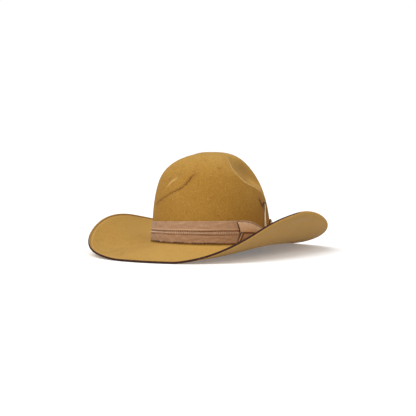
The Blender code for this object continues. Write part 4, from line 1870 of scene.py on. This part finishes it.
@dataclass
class LeatherLace:
    """A flat thong out of the rear hole, down over the band and under the bow's rear wing."""

    azimuth: float = 116.0
    low_azimuth: float = 106.9
    curve: float = 3.0
    hole_height: float = 0.0587
    hole_half: float = 0.0022
    low_end: float = 0.0130
    width_top: float = 0.0020
    width_low: float = 0.0062
    wall: float = 0.0011
    tail: float = 0.010
    gap: float = 0.0003
    over_band: float = 0.0031
    first_step: float = 0.001
    easing: float = 0.8
    turn_steps: int = 8
    down_steps: int = 40
    corners: int = 12
    dirt: float = 0.8
    dirty_share: float = 1 / 12
    full_twist: float = 58.0
    # share of the way down, share of the full twist
    twist: tuple = ((0.0, 0.0), (0.15, 0.5), (0.35, 0.9), (0.60, 1.0), (0.76, 0.95), (0.87, 0.1), (1.0, 0.0))
    band: HatBand = field(default_factory=HatBand)

    def turn_height(self) -> float:
        """Return the height over the break where the thong turns out of its hole."""
        return self.hole_height - self.hole_half / 2

    def course(self) -> Array:
        """Lead the thong up inside the crown, out through the hole and down.

        Returns:
            Rows of height over the break and distance over the felt.
        """
        turn_height = self.turn_height()
        radius = FORM.felt / 2 + self.gap + self.wall / 2
        route = [(turn_height - self.tail, -FORM.felt - self.gap - self.wall / 2)]
        for step in range(self.turn_steps + 1):
            turn = math.pi * step / self.turn_steps
            route.append((turn_height + radius * math.sin(turn), -FORM.felt / 2 - radius * math.cos(turn)))
        top = float(self.band.top(np.array([math.radians(self.low_azimuth)]))[0])
        start = self.gap + self.wall / 2
        for height in np.linspace(turn_height - self.first_step, self.low_end, self.down_steps):
            down = min((turn_height - height) / (turn_height - top), 1.0)
            route.append((height, start + (self.over_band - start) * down**self.easing))
        return np.array(route)

    def build(self, finish: LaceFinish) -> bpy.types.Object:
        """Build and dress the thong.

        Args:
            finish: its look.

        Returns:
            The piece.
        """
        route = self.course()
        tangent = unit(np.gradient(route, axis=0))
        angles = TURN * np.arange(self.corners) / self.corners
        rounded = [np.copysign(np.abs(wave) ** 0.5, wave)[:, None] for wave in (np.cos(angles), np.sin(angles))]
        rings = []
        dirty = []
        for index, (height, offset) in enumerate(route):
            outside = index > self.turn_steps // 2 + 1
            share = (self.turn_height() - height) / (self.turn_height() - self.low_end)
            down = np.clip(share, 0, 1) if outside else 0.0
            half = (self.width_top + (self.width_low - self.width_top) * down) / 2
            lean = (self.azimuth - self.low_azimuth) * (1 - down) ** self.curve
            azimuth = math.radians(self.low_azimuth + lean)
            point, along, up, out = FORM.frame_at(azimuth, max(height, 0.0))
            side = out * tangent[index, 0] - up * tangent[index, 1]
            turn = math.radians(self.full_twist) * float(eased(np.array([down]), self.twist)[0])
            broad = along * math.cos(turn) + side * math.sin(turn)
            thin = side * math.cos(turn) - along * math.sin(turn)
            x, y = rounded
            rings.append(point + out * offset + broad * half * x + thin * self.wall / 2 * y)
            dirty.append(np.full(self.corners, max(0.0, 1 - down / self.dirty_share) * self.dirt))
        points = np.concatenate(rings)
        faces = quads(len(rings), self.corners, False, True).tolist()
        faces.append(list(range(self.corners)))
        faces.append(list(range(len(points) - self.corners, len(points)))[::-1])
        piece = add_mesh("leather_lace", points, faces, {"dirty": np.concatenate(dirty)})
        piece.data.materials.append(finish.material())
        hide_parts("leather_lace")
        return piece


@dataclass
class Studio:
    """Pale floor, soft light and the photograph's camera."""

    azimuth: float = 38.0
    elevation: float = 3.0
    distance: float = 1.7
    aim: tuple = (-0.00114, -0.00089, 0.0693)
    lens: float = 91.95
    floor_size: float = 60.0
    ambient: float = 0.465
    floor_glow: float = 0.17
    white: float = 1.05
    sensor: float = 36.0
    clip_end: float = 50.0
    lamp_distance: float = 2.2
    # name, degrees round from the camera, elevation, watts per square metre, degrees across
    lamps: tuple = (("key", -50, 60, 1.90, 50), ("fill", 40, 35, 0.62, 60))

    @staticmethod
    def stand(piece: bpy.types.Object, azimuth: float, elevation: float, distance: float, aim: tuple) -> None:
        """Stand a lamp or a camera away from a point and turn it towards that point.

        Args:
            piece: the lamp or the camera.
            azimuth: where it stands, in degrees.
            elevation: how high it stands, in degrees.
            distance: how far away it stands.
            aim: the point.
        """
        a, e = math.radians(azimuth), math.radians(elevation)
        way = Vector((math.sin(a) * math.cos(e), -math.cos(a) * math.cos(e), math.sin(e)))
        piece.location = Vector(aim) + way * distance
        piece.rotation_mode = "QUATERNION"
        piece.rotation_quaternion = (-way).to_track_quat("-Z", "Y")

    def floor(self) -> bpy.types.Object:
        """Add the pale floor.

        Returns:
            The floor.
        """
        half = self.floor_size / 2
        mesh = bpy.data.meshes.new("floor")
        mesh.from_pydata([(-half, -half, 0), (half, -half, 0), (half, half, 0), (-half, half, 0)], [], [(0, 1, 2, 3)])
        piece = add_object("floor", mesh)
        piece.data.materials.append(self.pale_floor())
        return piece

    def pale_floor(self) -> bpy.types.Material:
        """Build the floor's material.

        Returns:
            The material, which glows a little so that shadows on it stay light.
        """
        return ShaderTree("floor").finish(
            (0.95, 0.95, 0.95), 0.9, None, Emission_Color=(1.0, 1.0, 1.0), Emission_Strength=self.floor_glow
        )

    def sun(self, name: str, azimuth: float, elevation: float, power: float, softness: float) -> None:
        """Add a broad, even light.

        Args:
            name: the light's name.
            azimuth: where it stands, in degrees.
            elevation: how high it stands, in degrees.
            power: watts per square metre.
            softness: degrees across.
        """
        data = bpy.data.lights.new(name, "SUN")
        data.energy = power
        data.angle = math.radians(softness)
        self.stand(add_object(name, data), azimuth, elevation, self.lamp_distance, (0.0, 0.0, 0.0))

    def world(self) -> None:
        """Make a world that lights softly and looks white to the camera."""
        world = bpy.data.worlds.new("studio")
        world.use_nodes = True
        nodes, links = world.node_tree.nodes, world.node_tree.links
        soft = nodes["Background"]
        white = nodes.new("ShaderNodeBackground")
        for sky, strength in ((soft, self.ambient), (white, self.white)):
            sky.inputs["Color"].default_value = (1, 1, 1, 1)
            sky.inputs["Strength"].default_value = strength
        seen = nodes.new("ShaderNodeLightPath")
        pick = nodes.new("ShaderNodeMixShader")
        links.new(seen.outputs["Is Camera Ray"], pick.inputs[0])
        links.new(soft.outputs[0], pick.inputs[1])
        links.new(white.outputs[0], pick.inputs[2])
        links.new(pick.outputs[0], nodes["World Output"].inputs["Surface"])
        bpy.context.scene.world = world

    def build(self) -> None:
        """Set up the floor, the lights, the world and the camera."""
        self.floor()
        for name, away, elevation, power, softness in self.lamps:
            self.sun(name, self.azimuth + away, elevation, power, softness)
        self.world()
        bpy.context.scene.view_settings.view_transform = "Standard"
        data = bpy.data.cameras.new("camera")
        data.lens = self.lens
        data.sensor_width = self.sensor
        data.clip_end = self.clip_end
        camera = add_object("camera", data)
        self.stand(camera, self.azimuth, self.elevation, self.distance, self.aim)
        bpy.context.scene.camera = camera


def main() -> None:
    """Build every piece, ride it on the hat's one body and report it."""
    logging.basicConfig(level=logging.INFO, format="%(name)s: %(message)s")
    Studio().build()
    ribbon = RibbonFinish("ribbon", (0.374, 0.206, 0.108), (0.60, 0.375, 0.225), (0.20, 0.082, 0.032))
    bow_ribbon = RibbonFinish("bow_ribbon", (0.41, 0.218, 0.105), (0.77, 0.50, 0.295), (0.15, 0.055, 0.018))
    band = HatBand()
    bow = Bow(band)
    pieces = [
        FeltBody().build(FeltFinish()),
        BrimBinding().build(BindingFinish()),
        band.build(ribbon),
        bow.wing("bow_front_wing", Side.FRONT, bow.front_length, bow_ribbon),
        bow.wing("bow_rear_wing", Side.REAR, bow.rear_length, bow_ribbon),
        bow.knot(bow_ribbon),
        LeatherLace().build(LaceFinish()),
    ]
    thread = ThreadFinish("band_thread", (0.90, 0.68, 0.50))
    needle = ThreadFinish("band_needle_holes", (0.10, 0.045, 0.02))
    # stitches, height share on the band, distance over it, look
    rows = (
        (StitchRow("band_stitches", 0.0030, 0.0017, 0.0015), 0.465, 0.0005, thread),
        (StitchRow("band_needle_marks", 0.0036, 0.0021, 0.0013), 0.545, 0.0000, needle),
    )
    seams = []
    for row, share, offset, finish in rows:
        seams.append(row.build(band.seam(share, offset), finish, "ribbon"))
    pieces += seams
    for piece in pieces:
        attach(piece, "root")
        piece.data.calc_loop_triangles()
        log.info("%s: %d triangles", piece.name, len(piece.data.loop_triangles))


if __name__ == "__main__":
    main()
